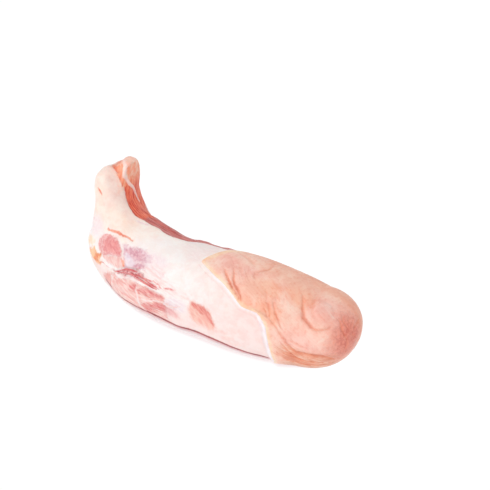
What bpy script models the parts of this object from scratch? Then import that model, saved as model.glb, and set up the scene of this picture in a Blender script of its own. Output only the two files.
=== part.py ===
"""A short-cut cured pork tail, built as one closed solid.

The tail lies on its side with its blunt, upturned butt end at -X and its
rounded tip at +X.  A thick saddle of white fat covers the near (-Y) side and
the top, the rind is left on the tip half only, and the far side of the top is
a knife-cut hollow of lean meat.

The outer form is the zero surface of a small set of section rules (how wide,
how tall and how far over the section sits at each station along the tail).
Rings of rays leave a line inside the tail and stop at that surface, and the
relief (the step at the rind's edge, folds, muscle lobes, slits) is then added
along the surface normal.

Sizes are in millimetres here and the mesh is written in metres.  Stations run
along X.  Angles go round the tail: 0 is up, +90 faces the near side (-Y),
-90 faces the far side (+Y), 180 is down.
"""

import bmesh
import bpy
import numpy as np

# ---------------------------------------------------------------- driving sizes
MM = 0.001

BUTT_X, BUTT_CAP = -71.0, 11.0      # where the cut end starts to round over, and how deep it is
TIP_X, TIP_CAP = 61.0, 24.5         # the same for the rounded tip
BUTT_ROUND, TIP_ROUND = 2.4, 2.1    # how square the two ends are
CORE_Z = 22.0                       # height of the line the rays leave from
SQUARENESS = 2.2                    # exponent of the section outline
SEAT = 2.0                          # how softly the underside meets its flat
FLAT_Z = 0.25                       # everything lower than this lies flat

HALF_WIDTH = ((-84, 18), (-74, 19), (-60, 22.5), (-45, 25), (-25, 25.8), (5, 25.4), (35, 25), (61, 22.4))
HALF_HEIGHT = ((-84, 24), (-60, 25), (-20, 24.5), (10, 24.2), (35, 23.7), (50, 22.6), (61, 21))
MIDDLE_Y = ((-84, 14.5), (-74, 12.5), (-60, 7), (-45, 2.5), (-25, -0.4), (0, -1.5), (25, -2.4), (42, -1.1), (59, 1.8))
LEAN = ((-84, 0.32), (-60, 0.25), (-50, 0.1), (-40, 0), (59, 0))
LIFT = ((-84, 4), (-76, 2), (-68, 0.5), (-60, 0), (30, 0), (45, 0.6), (59, 2.3), (68, 3.8), (75, 4.6), (87, 5.5))
EXTRA_TOP = ((-84, 32), (-77, 26), (-71, 20), (-64.5, 12.5), (-59, 5.5), (-50, 1.5), (-30, 1.5), (-10, 1.3),
             (3, 1.7), (14, 3.4), (24, 3.6), (40, 2.2), (50, 0.3), (59, -2), (75, -4.5), (87, -6))
CREST_Z = ((-84, 62), (-76, 66), (-70, 67), (-66.5, 65), (-64, 61), (-59, 53.2), (-53.5, 50.5),
           (-45, 48.6), (-35, 47), (-25, 46.5), (-10, 46.7), (10, 48.2), (25, 50), (59, 54))
CREST_Y = ((-84, 16), (-69, 18), (-61, 15), (-55.5, 10.5), (-45, 8.5), (-36, 7.5),
           (-25, 5.5), (-5, 7), (15, 12), (59, 26))
CUT_SLOPE = ((-84, 14), (-64, 14), (-57, 16), (-44, 20), (-10, 20), (20, 24), (59, 30))
CUT_CURVE = ((-84, 0), (-64, 0.005), (-54, 0.03), (-44, 0.04), (-10, 0.03), (20, 0.02), (59, 0))
CREST_OPEN = 1.2                    # the near side is left free of the cut
BUTT_WAIST = (3.0, 26.0, 12.0)      # how far the end draws in, from which height and over how much

# The upturned flap at the butt: (middle, half sizes, how fast it leans towards the tip).
TONGUES = {
    "back_meat": ((-67.0, 22.0, 50.0), (6.5, 8.0, 23.5), 0.17),
    "shoulder": ((-72.7, 14.0, 48.0), (6.0, 8.0, 19.5), -0.06),
}

# The rind: its edge as (angle, station), how proud it stands and how wide its cut edge is.
RIND_EDGE = ((-150, 34), (-120, 28), (-90, 25), (-60, 25), (-40, 18), (-28, 11.5), (-20, 6.5), (-9, 3.5),
             (4, 0.5), (14, -1), (21, 5), (26.5, 10.5), (35, 21), (42, 27), (46.5, 30.5), (48.5, 37.5),
             (54, 42), (61, 44.5), (73, 47.5), (91, 48.5), (117, 49.5), (150, 46), (180, 40))
RIND_PROUD, FAT_SUNK, EDGE_RUN = 0.7, -0.3, 0.8

# How many steps the mesh takes round the tail and along each stretch of it.
AROUND = 58
TOP_BIAS = 18.0
RINGS_MEAT, RINGS_RIND = 58, 33
DENSE = 160

# Relief drawn along the surface: (height, half width, (station, angle) ...).
STROKES = {
    "notch_crease": (-0.7, 1.8, (14.5, 17.5), (21, 28.5), (25, 36.5)),
    "notch_crease_inner": (-0.5, 1.8, (20, 17.5), (25.5, 31), (28.5, 41)),
    "tab_fold": (-0.7, 1.6, (10.5, -13.5), (15.5, -12), (23, -3.5)),
    "top_wrinkle": (-0.5, 1.2, (28.5, 7.5), (31.5, 0.5), (33.5, -8), (34.5, -23)),
    "side_wrinkle": (-0.5, 1.4, (44, 33), (47.5, 45), (54, 60.5)),
    "low_fold": (-0.7, 2.2, (53.5, 70.5), (60, 83.5), (71, 89.5), (77.5, 84.5)),
    "tip_crease": (-0.9, 2.2, (56.5, 12), (59, 25.5), (62.5, 37), (65.5, 44), (71.5, 47.5)),
    "slit": (-0.9, 1.3, (-61, 26), (-52, 23), (-43, 23.5)),
    "torn_strand": (0.7, 1.6, (-48, 68.5), (-41, 61), (-35.5, 58), (-29.5, 57)),
    "strand_groove": (-0.8, 1.5, (-57, 69), (-47, 69.5), (-38, 64.5), (-28, 63)),
    "cut_groove": (-0.8, 2.0, (-52, -32), (-36, -26), (-22, -22)),
}

# Rounded muscle lobes and pads: (station, angle, half length, half width, turn in degrees, height).
LOBES = {
    "tip_bulge": (67.5, 17.0, 7.5, 6.5, 20.0, 0.9),
    "round_muscle": (-56.5, 43.0, 9.0, 7.0, -20.0, 1.0),
    "spongy_pad": (-37.0, 40.0, 13.0, 6.0, 5.0, -0.6),
    "lower_muscle": (-38.0, 90.0, 19.0, 10.0, -5.0, 0.8),
    "cut_patch": (9.5, 75.0, 9.5, 6.0, 45.0, -0.7),
    "far_muscle": (-38.0, -44.0, 17.0, 8.5, 8.0, 1.1),
    "far_oval_small": (-13.0, -44.0, 6.5, 4.5, 20.0, 0.6),
    "far_oval_large": (4.0, -52.0, 9.0, 5.5, 15.0, 0.7),
    "far_low_muscle": (-44.0, -86.0, 16.0, 8.0, 5.0, 1.0),
    "far_low_lobe": (-14.0, -82.0, 9.0, 6.0, -10.0, 0.8),
}

# Muscles in the cut butt end: (Y, Z, half width, half height, height of the bulge).
END_LOBES = {
    "end_large": (20.0, 26.0, 11.0, 12.0, 1.0),
    "end_small": (2.0, 24.0, 6.0, 9.0, 0.8),
    "end_upper": (21.0, 50.0, 7.0, 8.0, 0.6),
}

FRAME_SHIFT = (-1.765, -3.441)        # puts the middle of the part's box over the origin


# ---------------------------------------------------------------- section rules
def ease(t):
    """Smooth step from 0 to 1."""
    t = np.clip(t, 0.0, 1.0)
    return t * t * (3.0 - 2.0 * t)


def smooth_max(a, b, k):
    """Maximum of two fields with a fillet of size k."""
    h = np.clip(0.5 + 0.5 * (a - b) / k, 0.0, 1.0)
    return b * (1.0 - h) + a * h + k * h * (1.0 - h)


def along(x, rule):
    """Value of a rule, given as (station, value) pairs, on a smooth curve through them."""
    at, value = np.array(rule, float).T
    i = np.clip(np.searchsorted(at, x) - 1, 0, len(at) - 2)
    slope = np.gradient(value, at)
    step = at[i + 1] - at[i]
    t = np.clip((x - at[i]) / step, 0.0, 1.0)
    return ((2 * t**3 - 3 * t**2 + 1) * value[i] + (t**3 - 2 * t**2 + t) * step * slope[i]
            + (-2 * t**3 + 3 * t**2) * value[i + 1] + (t**3 - t**2) * step * slope[i + 1])


def core_y(x):
    """Y of the line the rays leave from."""
    return 0.7 * along(x, MIDDLE_Y)


def outer_field(p):
    """Negative inside the plain outer form, positive outside it."""
    x, y, z = p[..., 0], p[..., 1], p[..., 2]
    half_width, half_height = along(x, HALF_WIDTH), along(x, HALF_HEIGHT)
    middle_y = along(x, MIDDLE_Y) + along(x, LEAN) * np.maximum(z - 30.0, 0.0)
    middle_z = half_height - 1.2 + along(x, LIFT)
    upper = half_height + along(x, EXTRA_TOP)
    high = np.where(z > middle_z, (z - middle_z) / upper, (z - middle_z) / half_height)
    n = SQUARENESS
    section = (np.abs((y - middle_y) / half_width)**n + np.abs(high)**n)**(2.0 / n)
    waist, waist_z, waist_rise = BUTT_WAIST
    butt_cap = BUTT_CAP - waist * ease((z - waist_z) / waist_rise)
    end = np.where(x < BUTT_X, (BUTT_X - x) / butt_cap, np.where(x > TIP_X, (x - TIP_X) / TIP_CAP, 0.0))
    m = np.where(x < 0.0, BUTT_ROUND, TIP_ROUND)
    body = ((section**(m / 2.0) + np.abs(end)**m)**(1.0 / m) - 1.0) * 25.0

    beyond = y - along(x, CREST_Y)
    fall = np.tan(np.radians(along(x, CUT_SLOPE))) * beyond + along(x, CUT_CURVE) * beyond**2
    cut = (z - along(x, CREST_Z) + np.where(beyond > 0.0, fall, beyond * CREST_OPEN)) * 0.8
    form = smooth_max(body, cut, 3.0)
    for middle, half, lean in TONGUES.values():
        leaning = np.stack([x - lean * (z - middle[2]), y, z], -1)
        rim = [(leaning[..., k] - middle[k]) / half[k] for k in range(3)]
        tongue = (sum(np.abs(r)**3 for r in rim)**(1.0 / 3.0) - 1.0) * min(half)
        form = -smooth_max(-form, -tongue, 3.0)
    return smooth_max(form, -z, SEAT)


def cast(origin, direction):
    """Points where rays from inside the tail reach the outer form."""
    near, far = np.zeros(origin.shape[:-1]), np.full(origin.shape[:-1], 75.0)
    for _ in range(40):
        middle = (near + far) / 2.0
        inside = outer_field(origin + direction * middle[..., None]) < 0.0
        near, far = np.where(inside, middle, near), np.where(inside, far, middle)
    return origin + direction * near[..., None]


def normals(p):
    """Outward unit normals of the outer form."""
    step = 0.05
    grad = np.stack([outer_field(p + step * e) - outer_field(p - step * e) for e in np.eye(3)], -1)
    return grad / np.linalg.norm(grad, axis=-1, keepdims=True)


def on_surface(station, angle):
    """The point of the outer form at a station and an angle round the tail."""
    a = np.radians(angle)
    origin = np.array([station, float(core_y(np.array([station]))[0]), CORE_Z])
    return cast(origin[None], np.array([[0.0, -np.sin(a), np.cos(a)]]))[0]


def rind_edge(angle):
    """Station of the rind's edge at each angle, and how fast it runs along the tail."""
    at, station = np.array(RIND_EDGE, float).T
    here = np.interp(angle, at, station, period=360.0)
    turn = np.interp(angle + 1.5, at, station, period=360.0) - np.interp(angle - 1.5, at, station, period=360.0)
    return here, turn / (3.0 * np.pi / 180.0 * 26.0)


# ---------------------------------------------------------------- mesh grid
def ray_angles():
    """Angles of the rays, a little closer together over the tall upper side."""
    turn = np.linspace(-180.0, 180.0, AROUND, endpoint=False)
    return turn - TOP_BIAS * np.sin(np.radians(turn + 15.0))


def profile(station, tilt, angle):
    """Points of the outer form along a fan of rays, one column for each angle."""
    tilt = np.radians(tilt)[:, None]
    turn = np.radians(angle)[None, :]
    direction = np.stack([np.sin(tilt) + 0 * turn, -np.cos(tilt) * np.sin(turn), np.cos(tilt) * np.cos(turn)], -1)
    origin = np.stack([station, core_y(station), np.full_like(station, CORE_Z)], -1)
    return cast(origin, direction)


def resample(points, count):
    """Respace each column of points evenly along its own length."""
    length = np.linalg.norm(np.diff(points, axis=0), axis=-1)
    arc = np.vstack([np.zeros(points.shape[1]), np.cumsum(length, axis=0)])
    out = np.empty((count,) + points.shape[1:])
    for k in range(points.shape[1]):
        want = np.linspace(0.0, arc[-1, k], count)
        for axis in range(3):
            out[:, k, axis] = np.interp(want, arc[:, k], points[:, k, axis])
    return out


def grid():
    """Rings from the butt's end point to the tip's, and which of them are rind."""
    angle = ray_angles()
    edge, run = rind_edge(angle)
    first, last = BUTT_X + 8.0, TIP_X - 2.0
    start = edge + EDGE_RUN * np.sqrt(1.0 + run**2)
    share = np.linspace(0.0, 1.0, DENSE)[:, None]
    flat, quarter = np.zeros(DENSE), np.linspace(0.0, 90.0, DENSE)

    butt = profile(np.full((DENSE, AROUND), first), quarter - 90.0, angle)
    body = profile(first + (edge - first) * share, flat, angle)
    rind = profile(start + (last - start) * share, flat, angle)
    tip = profile(np.full((DENSE, AROUND), last), quarter, angle)
    meat_rings = resample(np.concatenate([butt, body[1:]]), RINGS_MEAT)
    rind_rings = resample(np.concatenate([rind, tip[1:]]), RINGS_RIND)
    return np.concatenate([meat_rings, rind_rings]), np.arange(RINGS_MEAT + RINGS_RIND) >= RINGS_MEAT


# ---------------------------------------------------------------- relief
def distance_to_path(p, path):
    """Distance from points to a polyline."""
    best = np.full(p.shape[:-1], 1e9)
    for a, b in zip(path[:-1], path[1:]):
        ab = b - a
        t = np.clip(((p - a) @ ab) / (ab @ ab), 0.0, 1.0)
        best = np.minimum(best, np.linalg.norm(p - a - t[..., None] * ab, axis=-1))
    return best


def lobe_mask(p, station, angle, half_length, half_width, turn):
    """1 in the middle of an oval lying on the surface, 0 from its rim outwards."""
    middle = on_surface(station, angle)
    length = on_surface(station + 1.0, angle) - on_surface(station - 1.0, angle)
    length /= np.linalg.norm(length)
    across = on_surface(station, angle + 3.0) - on_surface(station, angle - 3.0)
    across -= length * (across @ length)
    across /= np.linalg.norm(across)
    t = np.radians(turn)
    u = (p - middle) @ (np.cos(t) * length + np.sin(t) * across)
    v = (p - middle) @ (np.cos(t) * across - np.sin(t) * length)
    w = (p - middle) @ np.cross(length, across)
    return ease(1.5 * (1.0 - np.sqrt((u / half_length)**2 + (v / half_width)**2 + (w / 14.0)**2)))


def relief(p, normal, is_rind):
    """Height of the relief over the outer form at each point."""
    height = np.where(is_rind, RIND_PROUD, FAT_SUNK)
    for depth, half_width, *path in STROKES.values():
        points = np.array([on_surface(*mark) for mark in path])
        height = height + depth * np.exp(-(distance_to_path(p, points) / half_width)**2)
    for *place, bulge in LOBES.values():
        height = height + bulge * lobe_mask(p, *place)
    facing = ease((-normal[..., 0] - 0.45) / 0.35)
    for y, z, half_width, half_height, bulge in END_LOBES.values():
        r = np.sqrt(((p[..., 1] - y) / half_width)**2 + ((p[..., 2] - z) / half_height)**2)
        height = height + bulge * facing * ease(1.5 * (1.0 - r))
    return height


def finish(p, normal, is_rind):
    """Outer form plus relief, with the flat underside, moved into the part's frame."""
    q = p + normal * relief(p, normal, is_rind)[..., None]
    q[..., 2] = np.where(q[..., 2] < FLAT_Z, 0.0, q[..., 2] - FLAT_Z)
    q[..., 0] += FRAME_SHIFT[0]
    q[..., 1] += FRAME_SHIFT[1]
    return q


# ---------------------------------------------------------------- Blender objects
def make_material():
    """Cured tail: pale fat pink, soft and slightly moist."""
    material = bpy.data.materials.new("tail_flesh")
    material.use_nodes = True
    shader = material.node_tree.nodes["Principled BSDF"]
    shader.inputs["Base Color"].default_value = (0.86, 0.66, 0.60, 1.0)
    shader.inputs["Roughness"].default_value = 0.5
    shader.inputs["Metallic"].default_value = 0.0
    return material


def make_tail():
    """Loft the rings into one closed body."""
    rings, proud = grid()
    is_rind = np.broadcast_to(proud[:, None], rings.shape[:2])
    rings = finish(rings, normals(rings), is_rind) * MM

    bm = bmesh.new()
    loops = [[bm.verts.new(co) for co in ring] for ring in rings[1:-1]]
    butt, tip = bm.verts.new(rings[0, 0]), bm.verts.new(rings[-1, 0])
    for k in range(AROUND):
        after = (k + 1) % AROUND
        bm.faces.new((butt, loops[0][k], loops[0][after]))
        for near, far in zip(loops[:-1], loops[1:]):
            bm.faces.new((near[k], far[k], far[after], near[after]))
        bm.faces.new((loops[-1][k], tip, loops[-1][after]))
    bmesh.ops.recalc_face_normals(bm, faces=bm.faces)
    mesh = bpy.data.meshes.new("pork_tail")
    bm.to_mesh(mesh)
    bm.free()
    mesh.shade_smooth()
    mesh.materials.append(make_material())
    tail = bpy.data.objects.new("pork_tail", mesh)
    bpy.context.scene.collection.objects.link(tail)
    return tail


def main():
    for old in list(bpy.data.objects):
        bpy.data.objects.remove(old, do_unlink=True)
    tail = make_tail()
    bpy.context.view_layer.update()
    low = np.min([tail.matrix_world @ v.co for v in tail.data.vertices], axis=0)
    high = np.max([tail.matrix_world @ v.co for v in tail.data.vertices], axis=0)
    print("size mm", np.round((high - low) / MM, 2), "middle mm", np.round((high + low) / 2 / MM, 3),
          "faces", len(tail.data.polygons))


if __name__ == "__main__":
    main()
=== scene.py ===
"""A short-cut cured pork tail, lying on its side.

The tail is dressed in three kinds of surface: a saddle of soft white fat with
lean meat showing through it, a sleeve of rind on the rounded tip half, and
thin strands of torn meat and membrane that follow the lean.  The outer form
is the same set of section rules as the solid part, sampled much more finely.

Stations run along X from the butt (-X) to the tip (+X) and angles go round
the tail: 0 is up, +90 faces the near side (-Y), -90 the far side, 180 is down.
Sizes are in millimetres until a mesh is written, in metres.
"""

from __future__ import annotations

import logging
import math
from dataclasses import dataclass
from enum import Enum

import bpy
import numpy as np
from mathutils import Matrix, Vector, noise

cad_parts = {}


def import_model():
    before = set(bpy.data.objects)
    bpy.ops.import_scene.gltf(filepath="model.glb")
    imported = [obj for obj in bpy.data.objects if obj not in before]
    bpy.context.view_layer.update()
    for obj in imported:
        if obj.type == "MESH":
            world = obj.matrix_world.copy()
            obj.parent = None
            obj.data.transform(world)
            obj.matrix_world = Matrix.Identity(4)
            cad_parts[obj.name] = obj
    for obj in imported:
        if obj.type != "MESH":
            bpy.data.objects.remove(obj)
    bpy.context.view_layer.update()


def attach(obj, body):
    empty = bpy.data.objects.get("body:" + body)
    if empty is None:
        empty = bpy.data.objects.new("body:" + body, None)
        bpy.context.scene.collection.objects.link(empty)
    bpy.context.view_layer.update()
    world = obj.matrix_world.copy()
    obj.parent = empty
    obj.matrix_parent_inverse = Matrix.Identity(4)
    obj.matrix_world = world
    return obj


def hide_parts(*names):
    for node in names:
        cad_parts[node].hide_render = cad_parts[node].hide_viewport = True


LOG = logging.getLogger("pork_tail")
MM = 0.001
# How far a degree round the tail is on the skin, in mm, on the whole and low on its sides.
MM_PER_DEGREE = 0.45
LOW_MM_PER_DEGREE = 0.42
# A distance in mm that is farther than any line or edge reaches.
FAR_AWAY = 99.0
# Angles of the near side, where the points lie closer together.
NEAR_SIDE = (-30.0, 122.0)
# Seed of the bends in the outlines of fat, lean meat and rind.
BEND_SEED = 4
NODE = "pork_tail"
# Two numbers, such as a (station, angle) mark or a range, a run of such pairs, and three numbers.
Mark = tuple[float, float]
Path = tuple[Mark, ...]
Triple = tuple[float, float, float]


# ------------------------------------------------------------------ small helpers
def ease(t: np.ndarray) -> np.ndarray:
    """Smooth step from 0 to 1.

    Args:
        t: Values, clipped to 0..1.

    Returns:
        The eased values.
    """
    t = np.clip(t, 0.0, 1.0)
    return t * t * (3.0 - 2.0 * t)


def smooth_max(a: np.ndarray, b: np.ndarray, k: float) -> np.ndarray:
    """Maximum of two fields with a fillet.

    Args:
        a: First field.
        b: Second field.
        k: Size of the fillet.

    Returns:
        The blended field.
    """
    h = np.clip(0.5 + 0.5 * (a - b) / k, 0.0, 1.0)
    return b * (1.0 - h) + a * h + k * h * (1.0 - h)


def along(x: np.ndarray, rule: Path) -> np.ndarray:
    """Value of a rule on a smooth curve through its (station, value) pairs.

    Args:
        x: Stations.
        rule: The pairs, in order of station.

    Returns:
        The value at each station.
    """
    at, value = np.array(rule, float).T
    i = np.clip(np.searchsorted(at, x) - 1, 0, len(at) - 2)
    slope = np.gradient(value, at)
    step = at[i + 1] - at[i]
    t = np.clip((x - at[i]) / step, 0.0, 1.0)
    return ((2 * t**3 - 3 * t**2 + 1) * value[i] + (t**3 - 2 * t**2 + t) * step * slope[i]
            + (-2 * t**3 + 3 * t**2) * value[i + 1] + (t**3 - t**2) * step * slope[i + 1])


def linear(red: float, green: float, blue: float) -> tuple[float, float, float, float]:
    """A display colour, 0 to 255, as the linear colour a shader takes.

    Args:
        red: Red, 0 to 255.
        green: Green, 0 to 255.
        blue: Blue, 0 to 255.

    Returns:
        Linear red, green, blue and an alpha of 1.
    """
    def channel(value: float) -> float:
        """One channel, from 0 to 1."""
        c = value / 255.0
        return c / 12.92 if c <= 0.04045 else ((c + 0.055) / 1.055) ** 2.4
    return channel(red), channel(green), channel(blue), 1.0


def rounded(marks: Path, closed: bool = False, steps: int = 4) -> np.ndarray:
    """A smooth line through marks.

    Args:
        marks: The marks, in order.
        closed: Whether the line runs back to its first mark.
        steps: Points made for each stretch between two marks.

    Returns:
        The points of the line.
    """
    p = np.array(marks, float)
    if closed:
        p = np.vstack([p[-1:], p, p[:2]])
    else:
        p = np.vstack([2 * p[0] - p[1], p, 2 * p[-1] - p[-2]])
    t = np.linspace(0.0, 1.0, steps, endpoint=False)[:, None]
    line = np.concatenate([
        0.5 * (2 * b + (c - a) * t + (2 * a - 5 * b + 4 * c - d) * t**2 + (3 * b - a - 3 * c + d) * t**3)
        for a, b, c, d in zip(p, p[1:], p[2:], p[3:])])
    return line if closed else np.vstack([line, p[-2:-1]])


def wander(points: np.ndarray, size: float, reach: float) -> np.ndarray:
    """Points pushed about by smooth noise, so that outlines measured on them come out uneven.

    Args:
        points: The points, in mm.
        size: Size of the bends, in mm.
        reach: How far a point may move, in mm.

    Returns:
        The moved points.
    """
    push = [noise.noise_vector(Vector(p)) for p in (points.reshape(-1, 3) / size).tolist()]
    return points + reach * np.array(push).reshape(points.shape)


# ------------------------------------------------------------------ form
@dataclass(frozen=True)
class Tongue:
    """A leaning lump that carries the upturned flap."""

    middle: Triple
    half: Triple
    lean: float


@dataclass(frozen=True)
class TailForm:
    """Section rules of the tail and the rays that turn them into points.

    A rule is a run of (station, value) pairs; rind_edge_marks holds (angle, station) pairs. body_mm and
    cut_mm turn the two parts of the field into about mm, so that their fillets have the size given.
    """

    butt_x: float = -71.0
    butt_cap: float = 11.0
    butt_round: float = 2.4
    butt_waist: Triple = (3.0, 26.0, 12.0)
    tip_x: float = 61.0
    tip_cap: float = 24.5
    tip_round: float = 2.1
    core_z: float = 22.0
    squareness: float = 2.2
    seat: float = 2.0
    flat_z: float = 0.25
    middle_drop: float = 1.2
    body_mm: float = 25.0
    cut_mm: float = 0.8
    fillet: float = 3.0
    shift: tuple[float, float] = (-1.765, -3.441)
    core_share: float = 0.7
    half_width: Path = ((-84, 18), (-74, 19), (-60, 22.5), (-45, 25), (-25, 25.8), (5, 25.4), (35, 25),
                        (61, 22.4))
    half_height: Path = ((-84, 24), (-60, 25), (-20, 24.5), (10, 24.2), (35, 23.7), (50, 22.6), (61, 21))
    middle_y: Path = ((-84, 14.5), (-74, 12.5), (-60, 7), (-45, 2.5), (-25, -0.4), (0, -1.5), (25, -2.4),
                      (42, -1.1), (59, 1.8))
    lean: Path = ((-84, 0.32), (-60, 0.25), (-50, 0.1), (-40, 0), (59, 0))
    lean_above: float = 30.0
    lift: Path = ((-84, 4), (-76, 2), (-68, 0.5), (-60, 0), (30, 0), (45, 0.6), (59, 2.3), (68, 3.8),
                  (75, 4.6), (87, 5.5))
    extra_top: Path = ((-84, 32), (-77, 26), (-71, 20), (-64.5, 12.5), (-59, 5.5), (-50, 1.5), (-30, 1.5),
                       (-10, 1.3), (3, 1.7), (14, 3.4), (24, 3.6), (40, 2.2), (50, 0.3), (59, -2), (75, -4.5),
                       (87, -6))
    crest_z: Path = ((-84, 62), (-76, 66), (-70, 67), (-66.5, 65), (-64, 61), (-59, 53.2), (-53.5, 50.5),
                     (-45, 48.6), (-35, 47), (-25, 46.5), (-10, 46.7), (10, 48.2), (25, 50), (59, 54))
    crest_y: Path = ((-84, 16), (-69, 18), (-61, 15), (-55.5, 10.5), (-45, 8.5), (-36, 7.5), (-25, 5.5),
                     (-5, 7), (15, 12), (59, 26))
    cut_slope: Path = ((-84, 14), (-64, 14), (-57, 16), (-44, 20), (-10, 20), (20, 24), (59, 30))
    cut_curve: Path = ((-84, 0), (-64, 0.005), (-54, 0.03), (-44, 0.04), (-10, 0.03), (20, 0.02), (59, 0))
    crest_open: float = 1.2
    tongues: tuple[Tongue, ...] = (Tongue((-67.0, 22.0, 50.0), (6.5, 8.0, 23.5), 0.17),
                                   Tongue((-72.7, 14.0, 48.0), (6.0, 8.0, 19.5), -0.06))
    rind_edge_marks: Path = ((-150, 34), (-120, 28), (-90, 25), (-60, 25), (-40, 18), (-28, 11.5), (-20, 6.5),
                             (-9, 3.5), (4, 0.5), (14, -1), (20.5, 4.5), (26.5, 11), (31, 17.5), (35, 21.5),
                             (39, 25), (43.5, 28), (46.5, 30.5), (47.2, 33), (47.7, 36.5), (48.5, 39),
                             (51, 41), (56, 43), (62, 45), (73, 46.5), (84, 47.5), (94, 48.5), (117, 49.5),
                             (150, 46), (180, 40))
    edge_reach: float = 15.0
    edge_far: float = 30.0
    skin_radius: float = 26.0
    longest_ray: float = 75.0
    halvings: int = 26

    def core_y(self, x: np.ndarray) -> np.ndarray:
        """Y of the line the rays leave from, at each station."""
        return self.core_share * along(x, self.middle_y)

    def outer(self, p: np.ndarray) -> np.ndarray:
        """Field that is negative inside the plain form and positive outside it.

        Args:
            p: Points, with their coordinates on the last axis.

        Returns:
            The field at each point.
        """
        x, y, z = p[..., 0], p[..., 1], p[..., 2]
        half_width, half_height = along(x, self.half_width), along(x, self.half_height)
        middle_y = along(x, self.middle_y) + along(x, self.lean) * np.maximum(z - self.lean_above, 0.0)
        middle_z = half_height - self.middle_drop + along(x, self.lift)
        upper = half_height + along(x, self.extra_top)
        high = np.where(z > middle_z, (z - middle_z) / upper, (z - middle_z) / half_height)
        n = self.squareness
        section = (np.abs((y - middle_y) / half_width)**n + np.abs(high)**n)**(2.0 / n)
        waist, waist_z, waist_rise = self.butt_waist
        butt_cap = self.butt_cap - waist * ease((z - waist_z) / waist_rise)
        end = np.where(x < self.butt_x, (self.butt_x - x) / butt_cap,
                       np.where(x > self.tip_x, (x - self.tip_x) / self.tip_cap, 0.0))
        m = np.where(x < 0.0, self.butt_round, self.tip_round)
        body = ((section**(m / 2.0) + np.abs(end)**m)**(1.0 / m) - 1.0) * self.body_mm
        beyond = y - along(x, self.crest_y)
        fall = np.tan(np.radians(along(x, self.cut_slope))) * beyond + along(x, self.cut_curve) * beyond**2
        fall = np.where(beyond > 0.0, fall, beyond * self.crest_open)
        cut = (z - along(x, self.crest_z) + fall) * self.cut_mm
        form = smooth_max(body, cut, self.fillet)
        for tongue in self.tongues:
            leaning = (x - tongue.lean * (z - tongue.middle[2]), y, z)
            rim = [(leaning[k] - tongue.middle[k]) / tongue.half[k] for k in range(3)]
            lump = (sum(np.abs(r)**3 for r in rim)**(1.0 / 3.0) - 1.0) * min(tongue.half)
            form = -smooth_max(-form, -lump, self.fillet)
        return smooth_max(form, -z, self.seat)

    def cast(self, origin: np.ndarray, direction: np.ndarray) -> np.ndarray:
        """Points where rays from inside the tail reach the form.

        Args:
            origin: Where the rays start.
            direction: Unit directions.

        Returns:
            The points reached.
        """
        near, far = np.zeros(origin.shape[:-1]), np.full(origin.shape[:-1], self.longest_ray)
        for _ in range(self.halvings):
            middle = (near + far) / 2.0
            inside = self.outer(origin + direction * middle[..., None]) < 0.0
            near, far = np.where(inside, middle, near), np.where(inside, far, middle)
        return origin + direction * near[..., None]

    def normals(self, p: np.ndarray) -> np.ndarray:
        """Outward unit normals of the form at the points p."""
        step = 0.05
        grad = np.stack([self.outer(p + step * e) - self.outer(p - step * e) for e in np.eye(3)], -1)
        return grad / np.linalg.norm(grad, axis=-1, keepdims=True)

    def at(self, marks: Path) -> np.ndarray:
        """Points of the form at (station, angle) marks."""
        station, angle = np.array(marks, float).T
        a = np.radians(angle)
        origin = np.stack([station, self.core_y(station), np.full_like(station, self.core_z)], -1)
        return self.cast(origin, np.stack([0 * a, -np.sin(a), np.cos(a)], -1))

    def rind_edge(self, angle: np.ndarray) -> tuple[np.ndarray, np.ndarray]:
        """The rind's edge.

        Args:
            angle: Angles round the tail, in degrees.

        Returns:
            Its station at each angle, and how fast it runs along the tail there.
        """
        at, station = np.array(self.rind_edge_marks, float).T
        here = np.interp(angle, at, station, period=360.0)
        turn = (np.interp(angle + 1.0, at, station, period=360.0)
                - np.interp(angle - 1.0, at, station, period=360.0))
        return here, turn / math.radians(2.0) / self.skin_radius

    def edge_columns(self, angle: np.ndarray) -> tuple[np.ndarray, np.ndarray]:
        """Places spaced evenly along the rind's edge, as many as there are columns of points.

        Args:
            angle: Angles of the columns away from the edge, in degrees.

        Returns:
            The angle of every column at the edge, and its station there.
        """
        fine = np.linspace(-180.0, 180.0, 3601)
        _, run = self.rind_edge(fine)
        column = np.interp(fine, np.append(angle, angle[0] + 360.0), np.arange(len(angle) + 1))
        crowd = np.gradient(column) * np.sqrt(1.0 + (0.7 * run)**2)
        total = np.cumsum(crowd) - crowd[0]
        edge_angle = np.interp(np.arange(len(angle)) * total[-1] / len(angle), total, fine)
        return edge_angle, self.rind_edge(edge_angle)[0]

    def beside_edge(self, edge_angle: np.ndarray, edge: np.ndarray,
                    away: np.ndarray) -> tuple[np.ndarray, np.ndarray]:
        """Places beside the rind's edge, on the side of the tip.

        Args:
            edge_angle: Angle of every column at the edge.
            edge: Its station there.
            away: Distances from the edge, in mm.

        Returns:
            Stations and angles, one row a distance.
        """
        ahead = np.gradient(np.concatenate([edge[-3:], edge, edge[:3]]))
        round_again = np.concatenate([edge_angle[-3:] - 360.0, edge_angle, edge_angle[:3] + 360.0])
        across = np.gradient(round_again) * MM_PER_DEGREE
        ahead, across = (np.convolve(v, np.ones(5) / 5.0, "same")[3:-3] for v in (ahead, across))
        length = np.hypot(ahead, across)
        away = away[:, None]
        return edge + away * across / length, edge_angle - away * ahead / length / MM_PER_DEGREE

    def angle_of(self, p: np.ndarray) -> np.ndarray:
        """Angle round the tail of the points p, in degrees."""
        return np.degrees(np.arctan2(self.core_y(p[..., 0]) - p[..., 1], p[..., 2] - self.core_z))

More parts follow.
